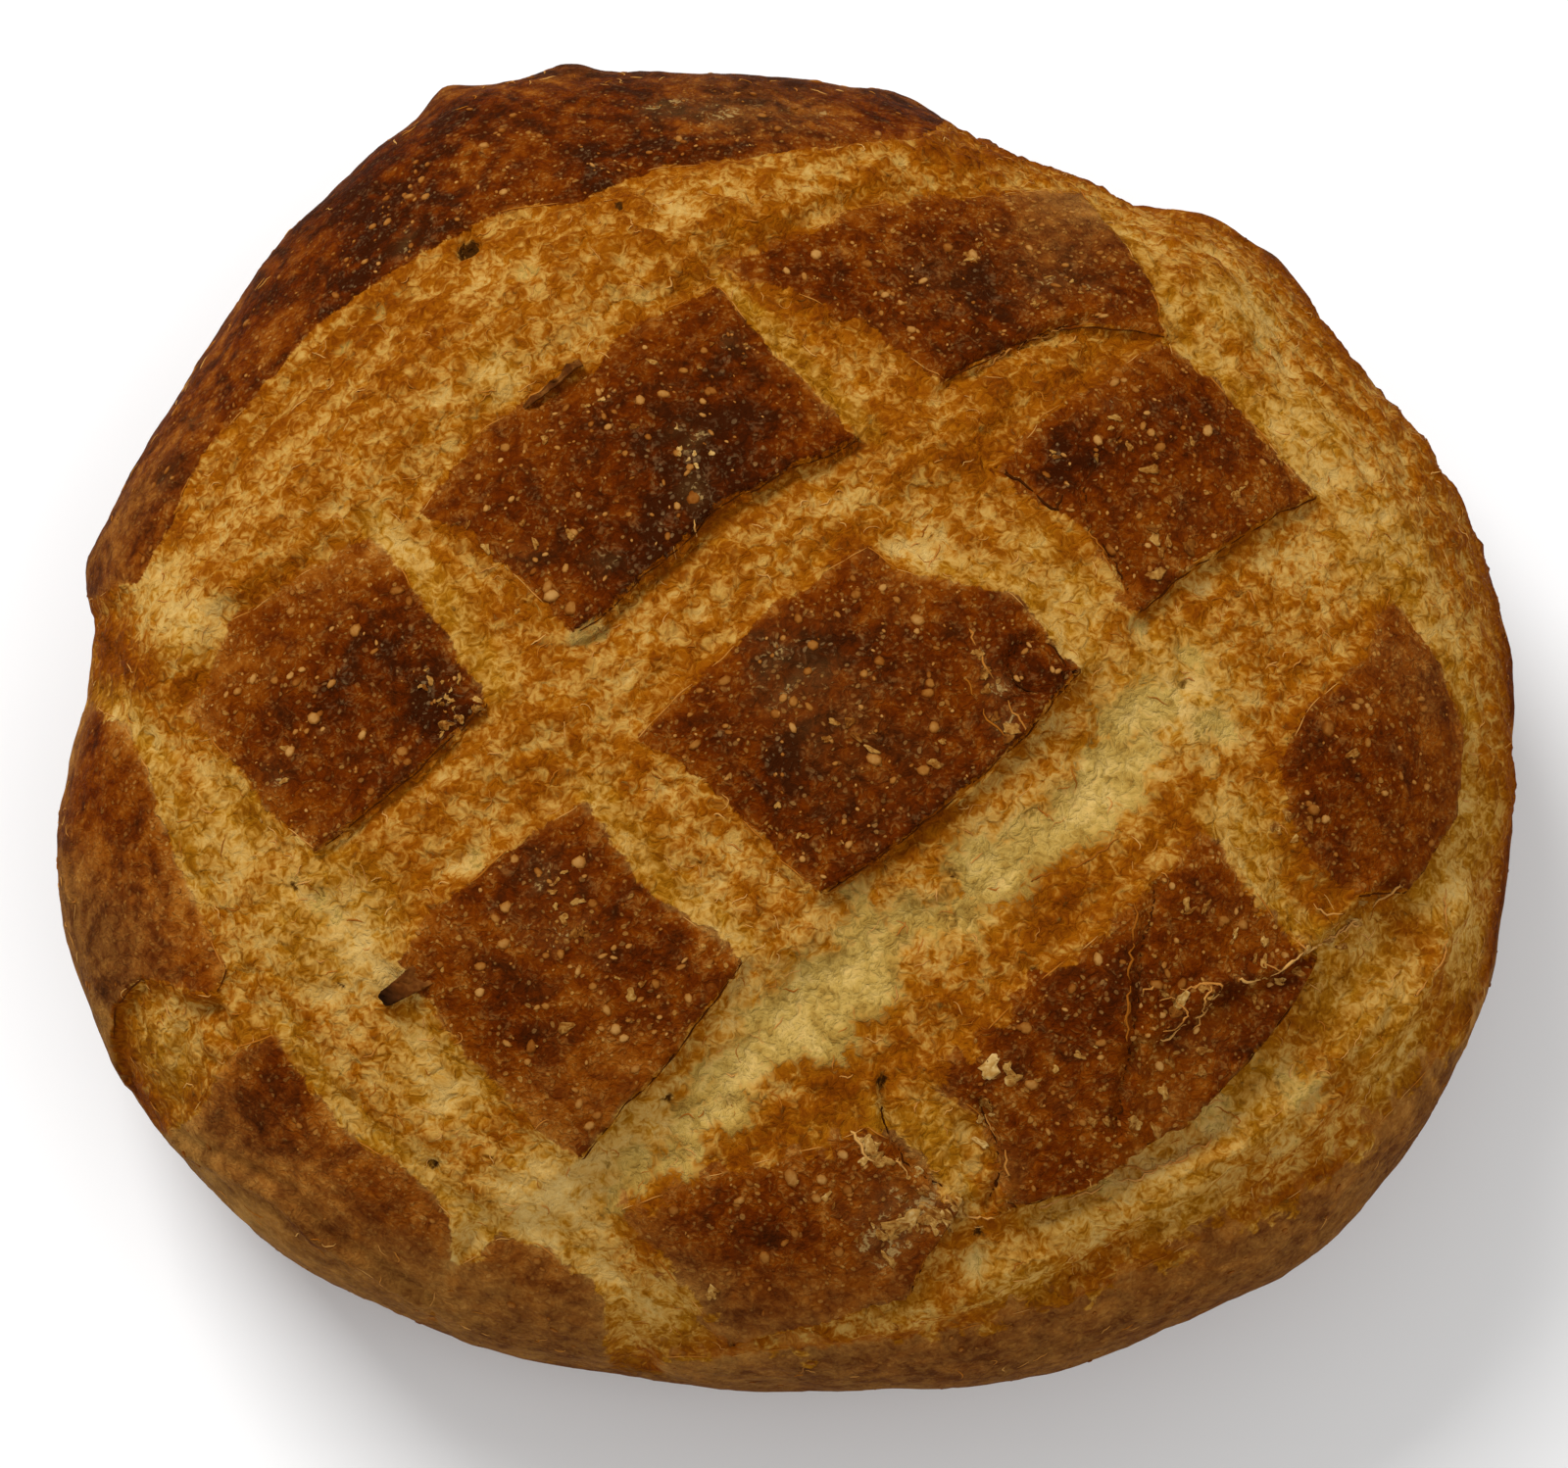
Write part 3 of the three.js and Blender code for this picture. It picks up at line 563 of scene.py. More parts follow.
DRY_SKIN_AND_SHEEN_SPOTS = [  # thin dried skin, with its grey sheen and glints painted in: place, radius and strength
    (-16, 27, 2.2, 0.7), (-14, 19, 2.6, 0.8), (-28, 8, 2.4, 0.8), (-41, 11, 2.4, 0.6), (-10, 46, 2, 0.6),
    (46, 64, 2, 0.7), (51, 63, 2, 0.7), (42, 61, 1.6, 0.6), (50, 38, 2, 0.5), (-54, -8, 2, 0.6),
    (-76, -20, 3, 0.6), (-90, -13, 2.4, 0.5), (-36, -37, 2.4, 0.6), (3, -20, 2, 0.5), (-62, 68, 3, 0.6),
    (-100, 43, 4, 0.5), (-104, 32, 3, 0.5), (60, -60, 3, 0.4), (17, -93, 5, 1), (22.5, -91, 4, 1),
    (14, -98, 4, 0.8), (0, -9, 7, 0.7), (-34, -46, 6, 0.5), (27, -6, 2.4, 0.9), (28.5, -11, 2.2, 0.9),
    (30.5, -16, 2, 0.9), (-23, 100, 4, 1), (-14, 99, 5, 1), (-4, 101, 4, 0.8), (6, 103, 4, 0.7),
]
DRY_SKIN_STREAK_ANGLE = math.radians(48)
DRY_SKIN_STREAK_STRETCH = 4.5
PIECE_BAKE = [  # how much darker each piece of skin is: the tiles, the shoulders and the side
    0.02, 0.01, -0.01, -0.04, -0.02, -0.02, -0.07, -0.03, -0.1,
    0.04, -0.15, -0.13, -0.12, -0.1, -0.03, -0.06,
]


SKIN_BAKE = 0.77  # how far the skin and the dough in the cuts have baked before anything is added
CUT_BAKE = 0.53


def skin_bake(c):
    inset = np.maximum(-c.edge, 0)
    side = smoothstep(SIDE_START - 15, SIDE_START + 10, c.reach)
    shoulder = (c.piece >= len(TILES)) * (1 - side) * (1 - smoothstep(-70, -105, c.v))
    base = SKIN_BAKE + (0.1 + 0.07 * shoulder - 0.04 * side) * c.coarse
    base += (0.14 + 0.09 * shoulder - 0.1 * side) * c.swirl + 0.05 * c.lumps
    base += np.array(PIECE_BAKE)[c.piece] + bumps(SKIN_SPOTS, c.u, c.v) + c.black
    base += 0.07 * c.lip * np.exp(-inset / 2.5)
    base -= 0.15 * (1 - c.lip) * np.exp(-inset / 2)
    under = smoothstep(CRUST_LENGTH - 34, CRUST_LENGTH - 6, c.reach)
    return base - 0.14 * under


BROWNED_AND_SHADOWED = [  # dough in the cuts that browned like skin, and painted shadow bands along some skin edges: line, width and amount
    ([(-84, -6), (-96, -5), (-108, 0), (-120, 8)], 5, 0.16),
    ([(-26, -90), (-10, -83), (6, -77), (15, -68), (24, -58), (32, -48), (44, -37)], 4, 0.05),
    ([(24, 95), (36, 104), (52, 118)], 7, 0.17),
    ([(60, 122), (84, 108), (106, 88), (122, 62), (132, 30), (136, 0)], 8, 0.12),
    # Painted shadow: a dark band along the right edge of a tile.
    ([(-6, 55), (4, 44), (12, 34)], 3, 0.1),
    # Partly browned dough and partly painted lip shadow, in the gap between two tiles.
    ([(47, 52), (54, 51), (62, 53), (66, 56)], 3.5, 0.11),
    ([(32, 30), (39, 40), (50, 46)], 4, 0.1),
    ([(-36, -24), (-30, -22), (-26, -26)], 4, 0.1),
    ([(-112, -8), (-104, -16), (-98, -26)], 3, -0.08),
    ([(9, 11), (16, 8), (22, 6)], 2.5, 0.17),
    ([(-8, 48), (-2, 42), (5, 35)], 3, 0.12),
    ([(36, 42), (44, 45), (52, 46)], 4, 0.06),
    ([(-126, -80), (-112, -62), (-98, -68)], 6, 0.04),
]


def cut_bake(c):
    out = np.maximum(c.edge, 0)
    base = CUT_BAKE + 0.1 * c.coarse - 0.12 * np.abs(c.lumps) + 0.05 * c.fine
    base = base + 0.08 * c.swirl + 0.11 * c.drawn
    # Painted shade: the dough just outside a lip is darkened as if in its shadow, with a thin dark painted
    # line along it.
    base += 0.08 * c.lip * np.exp(-out / 2) + 0.12 * c.lip * bell(out, 0.7)
    base += 0.1 * c.faces_back_left * np.exp(-out / 3.5)
    base -= 0.07 * c.yellow + 0.1 * c.hollow
    # Painted shade: the other side of each cross cut, next to an edge facing front left, is darkened.
    base += 0.08 * c.in_cross * np.clip(-c.faces_back_right, 0, 1) * np.exp(-out / 5)
    add_along_lines(base, BROWNED_AND_SHADOWED, c)
    browned = 0.1 * smoothstep(104, 136, c.reach) + 0.1 * smoothstep(128, SIDE_START, c.reach)
    return base + bumps(CUT_SPOTS, c.u, c.v) + browned


# How soft the border of each piece's colour is where it has no lip.
TILE_SOFTNESS = [1, 1.2, 1.4, 1.4, 2.2, 2.4, 1.6, 3.4, 4.4]
SHOULDER_SOFTNESS = [1, 1.4, 1.4, 2.5, 8, 3]
SIDE_SOFTNESS = 10


def skin_share(c):
    """1 on the skin and 0 in the cuts, with soft borders away from the lips."""
    softness = np.array(TILE_SOFTNESS + SHOULDER_SOFTNESS + [SIDE_SOFTNESS])[c.piece]
    softness = softness * (1 - 0.8 * smoothstep(0, 0.6, c.lip))
    border = c.edge + softness * (0.7 * c.lumps + 0.5 * c.fine)
    return 1 - smoothstep(-0.6, 0.6, border / (softness + 0.35))


# --- The crust mesh ---

def step_at(distance):
    return lerp(TOP_STEP, SIDE_STEP, smoothstep(*STEP_CHANGE, distance))


def ring_distances():
    distances = []
    distance = TOP_STEP
    while distance < CRUST_LENGTH - SIDE_STEP:
        distances.append(distance)
        distance += step_at(distance)
    return distances + [CRUST_LENGTH]


def stitch(inner, outer, inner_start, outer_start):
    """Triangles between two rings of evenly spaced points that both start at angle 0."""
    next_inner = np.arange(1, inner + 1) / inner
    next_outer = np.arange(1, outer + 1) / outer
    i, j = np.arange(inner), np.arange(outer)
    on_inner = np.searchsorted(next_outer, next_inner)
    on_outer = np.searchsorted(next_inner, next_outer, side="right")
    lag = np.stack([inner_start + i, outer_start + on_inner % outer, inner_start + (i + 1) % inner], 1)
    lead = np.stack([inner_start + on_outer % inner, outer_start + j, outer_start + (j + 1) % outer], 1)
    return np.concatenate([lag, lead]) if inner > 1 else lead


def crust_layout():
    """Crust places of every vertex on the skin and cuts, ring by ring, and the rings' sizes."""
    u, v, sizes = [np.zeros(1)], [np.zeros(1)], [1]
    for distance in ring_distances():
        count = max(6, round(2 * math.pi * float(on_profile(distance)[0]) / step_at(distance)))
        angle = turns(count)
        u.append(distance * np.cos(angle))
        v.append(distance * np.sin(angle))
        sizes.append(count)
    return np.concatenate(u), np.concatenate(v), sizes


def snap_to_edges(u, v):
    """Moves vertices that lie close to the edge of the skin onto it, so the edge stays crisp."""
    distance, facing_u, facing_v = nearest_skin(u, v)
    near = (np.abs(distance) < SNAP_SHARE * TOP_STEP) & (np.hypot(u, v) < SIDE_START - 3)
    return u - near * distance * facing_u, v - near * distance * facing_v


def base_rings():
    """The flat base, ring by ring, from just inside its edge to its middle."""
    places, sizes = [], []
    for share in BASE_RINGS:
        count = max(8, round(2 * math.pi * BASE_RADIUS * share / BASE_STEP))
        angle = turns(count)
        radius = BASE_RADIUS * share * outline_radius(angle) / MEAN_RADIUS
        places.append(np.stack([radius * np.cos(angle), radius * np.sin(angle), 0 * angle], 1))
        sizes.append(count)
    return np.concatenate(places + [np.zeros((1, 3))]), sizes + [1]


def new_mesh(name, points, faces):
    """A mesh object from points in millimetres."""
    mesh = bpy.data.meshes.new(name)
    mesh.from_pydata((points * MM).tolist(), [], faces.tolist())
    mesh.shade_smooth()
    piece = bpy.data.objects.new(name, mesh)
    bpy.context.scene.collection.objects.link(piece)
    return piece


def set_values(piece, name, values):
    attribute = piece.data.attributes.new(name, "FLOAT", "POINT")
    attribute.data.foreach_set("value", np.ascontiguousarray(values, np.float32))


def crust_values(c):
    """What the crust's material reads: each value over the crust, and the one that the base has."""
    # Painted shade: the crumb inside pores, away from the bare crumb, is darkened like the shadow in a hole.
    crumb_tone = 0.46 + 0.2 * c.swirl + 0.15 * c.drawn - 0.08 * c.hollow + 0.9 * c.pore * (1 - c.crumb)
    crumb_tone += 0.3 * bumps(CRUMB_SHADES, c.u, c.v)
    freckles = 1 - 0.65 * smoothstep(*FRECKLE_FADE, c.reach) - bumps(PLAIN_SKIN, c.u, c.v)
    # Thin dried skin with a painted grey sheen and glints, drawn out in streaks.
    streaks = noise(along_cut(c.u, c.v, DRY_SKIN_STREAK_ANGLE, DRY_SKIN_STREAK_STRETCH), 2.1, 77)
    dry_skin_and_sheen = np.minimum(bumps(DRY_SKIN_AND_SHEEN_SPOTS, c.u + 2 * c.lumps, c.v + 2 * c.coarse), 1.3) * (0.8 + 1.2 * streaks)
    return {
        "skin_share": (skin_share(c), 1),
        "skin_bake": (skin_bake(c), 0.62),
        "cut_bake": (cut_bake(c), 0.4),
        "crumb": (np.maximum.reduce([c.crumb, 0.55 * c.hollow, c.pore]), 0),
        "crumb_tone": (crumb_tone, 0.5),
        "yellow": (c.yellow, 0),
        "freckles": (np.maximum(freckles, 0.2), 0.3),
        "dry_skin_and_sheen": (dry_skin_and_sheen, 0),
    }


def make_crust():
    u, v, sizes = crust_layout()
    u, v = snap_to_edges(u, v)
    c = Crust(u, v)
    height = relief(c)
    points = in_space(u, v, height)
    base_points, base_sizes = base_rings()
    points = np.concatenate([points, base_points])
    sizes = sizes + base_sizes
    starts = np.concatenate([[0], np.cumsum(sizes)])
    faces = []
    for k in range(len(sizes) - 2):
        faces.append(stitch(sizes[k], sizes[k + 1], starts[k], starts[k + 1]))
    fan = stitch(1, sizes[-2], starts[-2], starts[-3])
    faces.append(fan[:, ::-1])
    faces = np.concatenate(faces)
    piece = new_mesh("crust", points, faces)
    extra = len(points) - len(u)
    for name, (values, on_base) in crust_values(c).items():
        set_values(piece, name, np.append(values, np.full(extra, on_base)))
    return piece


# --- Blisters, flakes, threads and curled edges on the crust ---

BLISTER_COUNT = 7400  # places tried, of which the ones on the skin are kept
BLISTER_SEED = 5
BLISTER_SIDES = 8
BLISTER_RINGS = [(0.55, 0.2), (0.9, 0.1), (1.0, -0.35)]  # reach and height as shares of the radius
BLISTER_RADIUS = 0.26  # of the smallest
BLISTER_GROWTH = 0.7  # how much more the widest has
BLISTER_RARITY = 3.2  # how few of them are wide
BLISTER_REACH = 0.93  # how much of the way down the crust they go
PLACED_BLISTERS = [  # place and radius of the ones that stand out
    (1, -0.5, 1.1), (3, -4.5, 1.2), (2.5, -9, 1), (-1.5, -13.5, 1), (0, -18, 1.1), (13.5, 4.5, 1),
    (28, 73, 1.4), (32.5, 72, 1.7), (13, 66, 1.5), (16, 60, 1.1), (4, 66, 1.4), (46, 64, 1.3),
    (-19, 35, 1.1), (-29, 36, 1), (-33, 2, 1.6), (-36, 4, 1.4), (-60, 6, 1.6), (-66, 0, 1.3),
    (-70, -13, 1.4), (-78, -24, 1.6), (80, -14, 1.9), (77, -26, 1.5), (-28, -60, 1.4), (-21, -57, 1.4),
    (-39, -64, 1.5), (-31, -36, 1.3), (0, -89, 1.8), (4, -92, 1.2), (52, 42, 1.3), (58, 30, 1.4),
    (66, 34, 1.3), (48, 12, 1.1), (12, -22, 1.5), (20, -16, 1.2), (24, -26, 1.3), (36, -70, 1.2),
]


def closed_caps(points, rings, sides):
    """Faces of many little closed solids, each given as rings of points with a point at both ends."""
    count = points // (rings * sides + 2)
    first = np.arange(count)[:, None] * (rings * sides + 2)
    k = np.arange(sides)
    after = (k + 1) % sides
    top = np.stack([0 * k, 1 + k, 1 + after], 1)
    walls = [top]
    for ring in range(rings - 1):
        a, b = 1 + ring * sides, 1 + (ring + 1) * sides
        walls.append(np.stack([a + k, b + k, b + after], 1))
        walls.append(np.stack([a + k, b + after, a + after], 1))
    last, end = 1 + (rings - 1) * sides, 1 + rings * sides
    walls.append(np.stack([last + k, 0 * k + end, last + after], 1))
    faces = np.concatenate(walls)
    return (faces[None] + first[:, :, None]).reshape(-1, 3)


def make_blisters():
    """Small round domes of thin skin, each a closed solid sunk a little into the crust."""
    random = np.random.default_rng(BLISTER_SEED)
    reach = CRUST_LENGTH * BLISTER_REACH * np.sqrt(random.random(BLISTER_COUNT))
    angle = random.random(BLISTER_COUNT) * 2 * np.pi
    u, v = reach * np.cos(angle), reach * np.sin(angle)
    radius = BLISTER_RADIUS + BLISTER_GROWTH * random.random(BLISTER_COUNT) ** BLISTER_RARITY
    placed = np.array(PLACED_BLISTERS)
    u, v = np.append(u, placed[:, 0]), np.append(v, placed[:, 1])
    radius = np.append(radius, 0.78 * placed[:, 2])
    tone = random.random(len(u))
    edge = nearest_skin(u, v)[0]
    keep = (edge < -0.6 - radius) & (tone > 0.7 * smoothstep(*FRECKLE_FADE, np.hypot(u, v)))
    u, v, radius, tone = u[keep], v[keep], radius[keep], tone[keep]
    count = len(u)
    turn = random.random((count, 1)) * 2 * np.pi
    k = turns(BLISTER_SIDES)
    shape = random.normal(size=(count, BLISTER_SIDES)).clip(-1.5, 1.5)
    shape = 1.1 + 0.15 * (shape + np.roll(shape, 1, axis=1))
    flat = 1 - 0.5 * random.random((count, 1))
    all_u, all_v, all_rise = [u[:, None]], [v[:, None]], [0.22 * radius[:, None]]
    for share, height in BLISTER_RINGS:
        along = radius[:, None] * share * shape * np.cos(k)
        across = radius[:, None] * share * shape * np.sin(k) * flat
        all_u.append(u[:, None] + along * np.cos(turn) - across * np.sin(turn))
        all_v.append(v[:, None] + along * np.sin(turn) + across * np.cos(turn))
        all_rise.append(np.broadcast_to(height * np.maximum(radius[:, None], 0.5), along.shape))
    all_u.append(u[:, None])
    all_v.append(v[:, None])
    all_rise.append(np.full((count, 1), -0.4))
    flat_u, flat_v = np.hstack(all_u).ravel(), np.hstack(all_v).ravel()
    rise = np.hstack(all_rise).ravel()
    ground = relief(Crust(u, v))
    per_blister = 2 + len(BLISTER_RINGS) * BLISTER_SIDES
    points = in_space(flat_u, flat_v, np.repeat(ground, per_blister) + rise)
    piece = new_mesh("blisters", points, closed_caps(len(points), len(BLISTER_RINGS), BLISTER_SIDES))
    rim = np.concatenate([[0]] + [np.full(BLISTER_SIDES, share) for share, _ in BLISTER_RINGS] + [[1]])
    set_values(piece, "tone", (0.5 * tone[:, None] + 0.45 * rim ** 3).ravel())
    return piece


FLAKES = [  # where they lie, how far they stray from that line, how many, their length and how pale
    # Painted highlights: this row's flakes are pale so that they stand for glints on the skin.
    ([(-16, 32), (-14, 24), (-12, 18)], 1.4, 8, 0.5, 0.7),
    ([(-38, 33), (-26, 34), (-18, 36)], 3, 5, 0.8, 0.5),
    ([(-13, 46), (-6, 43)], 2, 4, 0.7, 0.35),
    ([(-46, 16), (-38, 11), (-30, 8)], 3, 8, 0.8, 0.45),
    ([(4, -20), (12, -19), (22, -21)], 2, 7, 0.9, 0.4),
    ([(-4, -31), (7, -36)], 1.5, 4, 0.8, 0.55),
    ([(27, -2), (28, -9), (31, -17)], 0.8, 10, 0.9, 0.4),
    ([(-57, -11), (-52, -8), (-47, -12)], 2, 14, 0.6, 0.5),
    ([(-50, -16), (-44, -12)], 0.6, 8, 0.9, 0.35),
    ([(-78, -24), (-70, -20)], 2, 3, 0.8, 0.5),
    ([(-38, -64), (-28, -60), (-20, -57)], 2.5, 6, 0.9, 0.5),
    ([(-36, -37), (-32, -42)], 2, 6, 0.7, 0.5),
    ([(-32, -48), (-29, -48)], 1, 3, 1.2, 0.3),
    ([(55, 31), (58, 20), (54, 11)], 2.5, 12, 1.1, 0.37),
    ([(40, 26), (55, 37), (70, 26), (68, 19)], 2, 9, 0.8, 0.38),
    ([(27, 73), (33, 72)], 1.5, 3, 1.2, 0.45),
    # Painted highlights: this row's flakes are pale so that they stand for glints on the skin.
    ([(41, 61), (46, 64), (51, 63)], 2, 8, 0.7, 0.5),
    ([(80, -14), (78, -22), (70, -32)], 1.8, 6, 0.9, 0.45),
    ([(29, -69), (35, -69)], 0.7, 5, 1.6, 0.6),
    ([(30, -74), (31, -83)], 0.9, 6, 1, 0.5),
    ([(52, -56), (62, -53), (72, -50), (88, -39)], 1.1, 18, 1.1, 0.48),
    ([(54, -42), (60, -42), (68, -46)], 1.6, 7, 0.9, 0.42),
    ([(46, -62), (41, -67)], 1, 4, 0.6, 0.5),
    ([(64, -61), (56, -67), (55, -73), (38, -80)], 2, 12, 1, 0.4),
    ([(11, -81), (13, -86), (20, -87)], 0.8, 9, 1.3, 0.58),
    ([(25, -91), (19, -94), (14, -99)], 1.4, 9, 2.2, 0.5),
    ([(25, -91), (19, -94), (14, -99)], 2.4, 12, 0.9, 0.5),
    ([(0, -89), (10, -93)], 1.5, 5, 0.8, 0.45),
    ([(-15, -111), (-12, -109)], 0.8, 3, 0.9, 0.5),
    ([(-55, 81), (-47, 83)], 1.2, 4, 1, 0.3),
]
FLAKE_SEED = 8
FLAKE_SIDES = 14
FLAKE_RINGS = [0.35, 0.7, 1, 1, 0.6]  # how much of the flake each ring spans
FLAKE_TOP_RINGS = 3  # the others are on its underside
FLAKE_THICKNESS = 0.3


def make_flakes():
    """Thin torn scales of skin that lie on the crust with one side curled up, each a closed solid."""
    random = np.random.default_rng(FLAKE_SEED)
    k = turns(FLAKE_SIDES)
    all_u, all_v, all_rise, tones = [], [], [], []
    for line, stray, count, size, pale in FLAKES:
        nodes = np.array(line, float)
        for _ in range(count):
            along_line = random.random() * (len(nodes) - 1)
            place = [np.interp(along_line, np.arange(len(nodes)), column) for column in nodes.T]
            place = place + stray * random.normal(size=2)
            length = size * (0.5 + 0.8 * random.random())
            width = length * (0.35 + 0.45 * random.random())
            lies, curl, twist, bend = 2 * np.pi * random.random(4)
            torn = 1 + 0.2 * np.sin(2 * k + twist) + 0.22 * np.sin(3 * k + bend)
            torn += 0.14 * random.normal(size=FLAKE_SIDES).clip(-1.6, 1.6)
            u, v, rise = [place[0]], [place[1]], [0.2]
            for ring, share in enumerate(FLAKE_RINGS):
                along = length * share * torn * np.cos(k)
                across = width * share * torn * np.sin(k)
                u.extend(place[0] + along * math.cos(lies) - across * math.sin(lies))
                v.extend(place[1] + along * math.sin(lies) + across * math.cos(lies))
                lifted = 0.12 + 0.2 * share ** 2 * np.clip(np.cos(k - curl), -0.6, 1) * min(width, 1.4)
                lifted = lifted + 0.08 * share * random.normal(size=FLAKE_SIDES).clip(-1, 1)
                rise.extend(lifted - (FLAKE_THICKNESS if ring >= FLAKE_TOP_RINGS else 0))
            all_u.append(u + [place[0]])
            all_v.append(v + [place[1]])
            all_rise.append(rise + [-0.3])
            tones.append(pale + 0.12 * random.normal() + 0.1 * random.normal(size=len(rise) + 1))
    u, v = np.concatenate(all_u), np.concatenate(all_v)
    ground = relief(Crust(u, v))
    points = in_space(u, v, ground + np.concatenate(all_rise))
    piece = new_mesh("flakes", points, closed_caps(len(points), len(FLAKE_RINGS), FLAKE_SIDES))
    set_values(piece, "tone", 1 - np.concatenate(tones))
    return piece


THREAD_NODES = 8
THREAD_SIDES = 4
THREAD_SEED = 12
THREAD_TRIES = 1500
THREAD_REACH = 134  # how far down the crust the threads in the cuts go
UNDER_LIP_SHADOW = -1  # stands for the darkness of threads that are moved under a lip, where they paint its shadow line
TORN_EDGE = -2  # and of threads that are moved onto a torn edge; the further below this, the darker
DRAWN_THREADS = [  # torn edges of thin skin: line, radius, and how dark from 0 to 1
    ([(50, -54), (52.5, -52.5), (56.5, -53), (60.5, -51.5), (62, -53), (64, -51)], 0.26, 0.3),
    ([(64, -51), (68.5, -51), (71.5, -48.5), (74.5, -46.5), (79.5, -45)], 0.32, 0.1),
    ([(79.5, -45), (83.5, -43), (87, -41), (90, -38.5), (93, -36)], 0.3, 0.2),
    ([(62, -53), (61, -55), (58, -58), (54, -61), (50, -62.5)], 0.3, 0.15),
    ([(52, -55), (55, -54.5), (57, -56.5), (56, -59), (53, -59.5)], 0.24, 0.3),
    ([(60, -52), (59, -54.5), (60, -57), (56.5, -60.5)], 0.24, 0.25),
    ([(86, -42.5), (82, -41), (77.5, -40.5), (76.5, -39)], 0.24, 0.2),
    ([(70, -49.5), (67, -47.5), (64, -48)], 0.22, 0.3),
    ([(75, -46.5), (72.5, -44)], 0.22, 0.3),
    ([(49, -40.5), (48.5, -49.5), (48.5, -58.5), (48.6, -64.5)], 0.26, 0.5),
    ([(9.5, -81), (11, -83), (12, -85), (15, -85.5)], 0.4, 0.1),
    ([(16.5, -84.5), (18, -86.5), (20, -87.5)], 0.3, 0.2),
    ([(30, -76), (32.8, -81), (33.6, -86)], 0.3, 0.3),
    ([(24, -90), (28, -93.5), (32, -93)], 0.3, 0.2),
    ([(-40, 36.3), (-37.5, 37.6), (-35, 39.6), (-33, 41)], 0.3, 0.35),
    ([(26, -2), (27.5, -7), (30.5, -12), (33, -16)], 0.26, 0.35),
    ([(25, -9), (27, -14), (31, -18)], 0.24, 0.45),
    ([(33.5, 25), (37.5, 22), (40.5, 18), (42, 21)], 0.34, 0.8),
    ([(45, 15), (47, 11), (50, 5)], 0.24, 0.45),
    ([(39.8, -7), (38.5, -4), (35.5, -2.7), (32.5, -4), (31.2, -7)], 0.3, 0.8),
    ([(31.2, -7), (32.5, -10), (35.5, -11.3), (38.5, -10), (39.8, -7)], 0.3, 0.8),
    ([(31, 45.5), (38, 50.5), (47, 55)], 0.28, 0.3),
    ([(35, -38), (42, -35), (48, -30)], 0.24, 0.5),
    ([(40, -92), (50, -86.5), (62, -79)], 0.3, 0.2),
    ([(52, -84), (60, -80.5), (66, -74.5)], 0.28, 0.3),
    ([(95, -52), (101, -44), (104, -36)], 0.28, 0.3),
]


# Each of the next three gives threads one by one: their nodes as crust places, radius and darkness.

def torn_threads(random):
    """Torn edges of thin skin, and dark threads that paint shade into some of the creases."""
    along = np.linspace(0, 1, THREAD_NODES)
    # Painted shade: nearly black threads laid in some of the creases.
    creased = [(line, 0.28, 0.85) for line, *_ in CREASES[1:4] + CREASES[7:9]]
    for line, size, tone in DRAWN_THREADS + creased:
        line = np.array(line, float)
        length = np.append(0, np.cumsum(np.hypot(*np.diff(line, axis=0).T)))
        count = max(1, round(length[-1] / 6))
        for part in range(count):
            place = (part + along) / count * length[-1]
            part_of = np.clip(place + length[-1] / count * random.uniform(-0.6, 0.2), 0, length[-1])
            jitter = 0.22 * random.normal(size=(2, THREAD_NODES)).clip(-1.5, 1.5)
            yield (np.interp(part_of, length, line[:, 0]) + jitter[0],
                   np.interp(part_of, length, line[:, 1]) + jitter[1], 0.8 * size, tone + 0.2)


def edge_threads(random):
    """Along the edges of the skin: dark under the lips, as painted shadow lines, and pale where thin skin
    tore.
    """
    along = np.linspace(0, 1, THREAD_NODES)
    for outline, strength in zip(TILES + SHOULDERS, TILE_LIPS + SHOULDER_LIPS):
        corners = np.array(outline, float)
        before = np.roll(corners, 1, axis=0)
        turning = np.sign((before[:, 0] * corners[:, 1] - before[:, 1] * corners[:, 0]).sum())
        for start, end in zip(before, corners):
            span = np.hypot(*(end - start))
            count = max(1, round(span / 4))
            facing = turning * np.array([end[1] - start[1], start[0] - end[0]]) / span
            lip = strength * (facing @ LIP_FACING)
            for part in range(count):
                chance, size = random.random(2)
                place = (part - 0.15 + (0.7 + 0.6 * size) * along) / count
                line = start + place[:, None] * (end - start)
                if np.hypot(*line.T).max() > SIDE_START - 8:
                    continue
                if lip > 0.35:
                    # Painted shadow: a dark thread under the lip.
                    yield line[:, 0], line[:, 1], 0.12 + 0.1 * size, UNDER_LIP_SHADOW
                elif chance < 0.3:
                    yield line[:, 0], line[:, 1], 0.08 + 0.1 * size, TORN_EDGE - 0.5 * size


def cut_threads(random):
    """Short ones drawn out along the cuts. Some also lie on the skin close above the side, because
    nearest_skin takes the start of the side for an edge of the skin there."""
    reach = THREAD_REACH * np.sqrt(random.random(THREAD_TRIES))
    angle = random.random(THREAD_TRIES) * 2 * np.pi
    places = np.stack([reach * np.cos(angle), reach * np.sin(angle)], 1)
    open_here = nearest_skin(*places.T)[0] > 1
    turned = np.where(in_cross_cut(*places.T) > 0.5, CROSS_CUTS_ANGLE, LONG_CUTS_ANGLE)
    for place, is_open, way in zip(places, open_here, turned):
        heading = way + 0.7 * random.normal() + np.cumsum(0.45 * random.normal(size=THREAD_NODES))
        step = 0.22 + 0.3 * random.random()
        size, tone = random.random(2)
        if is_open:
            yield (place[0] + np.cumsum(step * np.cos(heading)), place[1] + np.cumsum(step * np.sin(heading)),
                   0.07 + 0.09 * size, 0.3 + 0.4 * tone)


def with_ends(middle, rings):
    """Threads' values ring by ring, with those of the middle line's two ends before and after."""
    return np.concatenate([middle[:, :1], rings.reshape(len(middle), -1), middle[:, -1:]], 1).ravel()


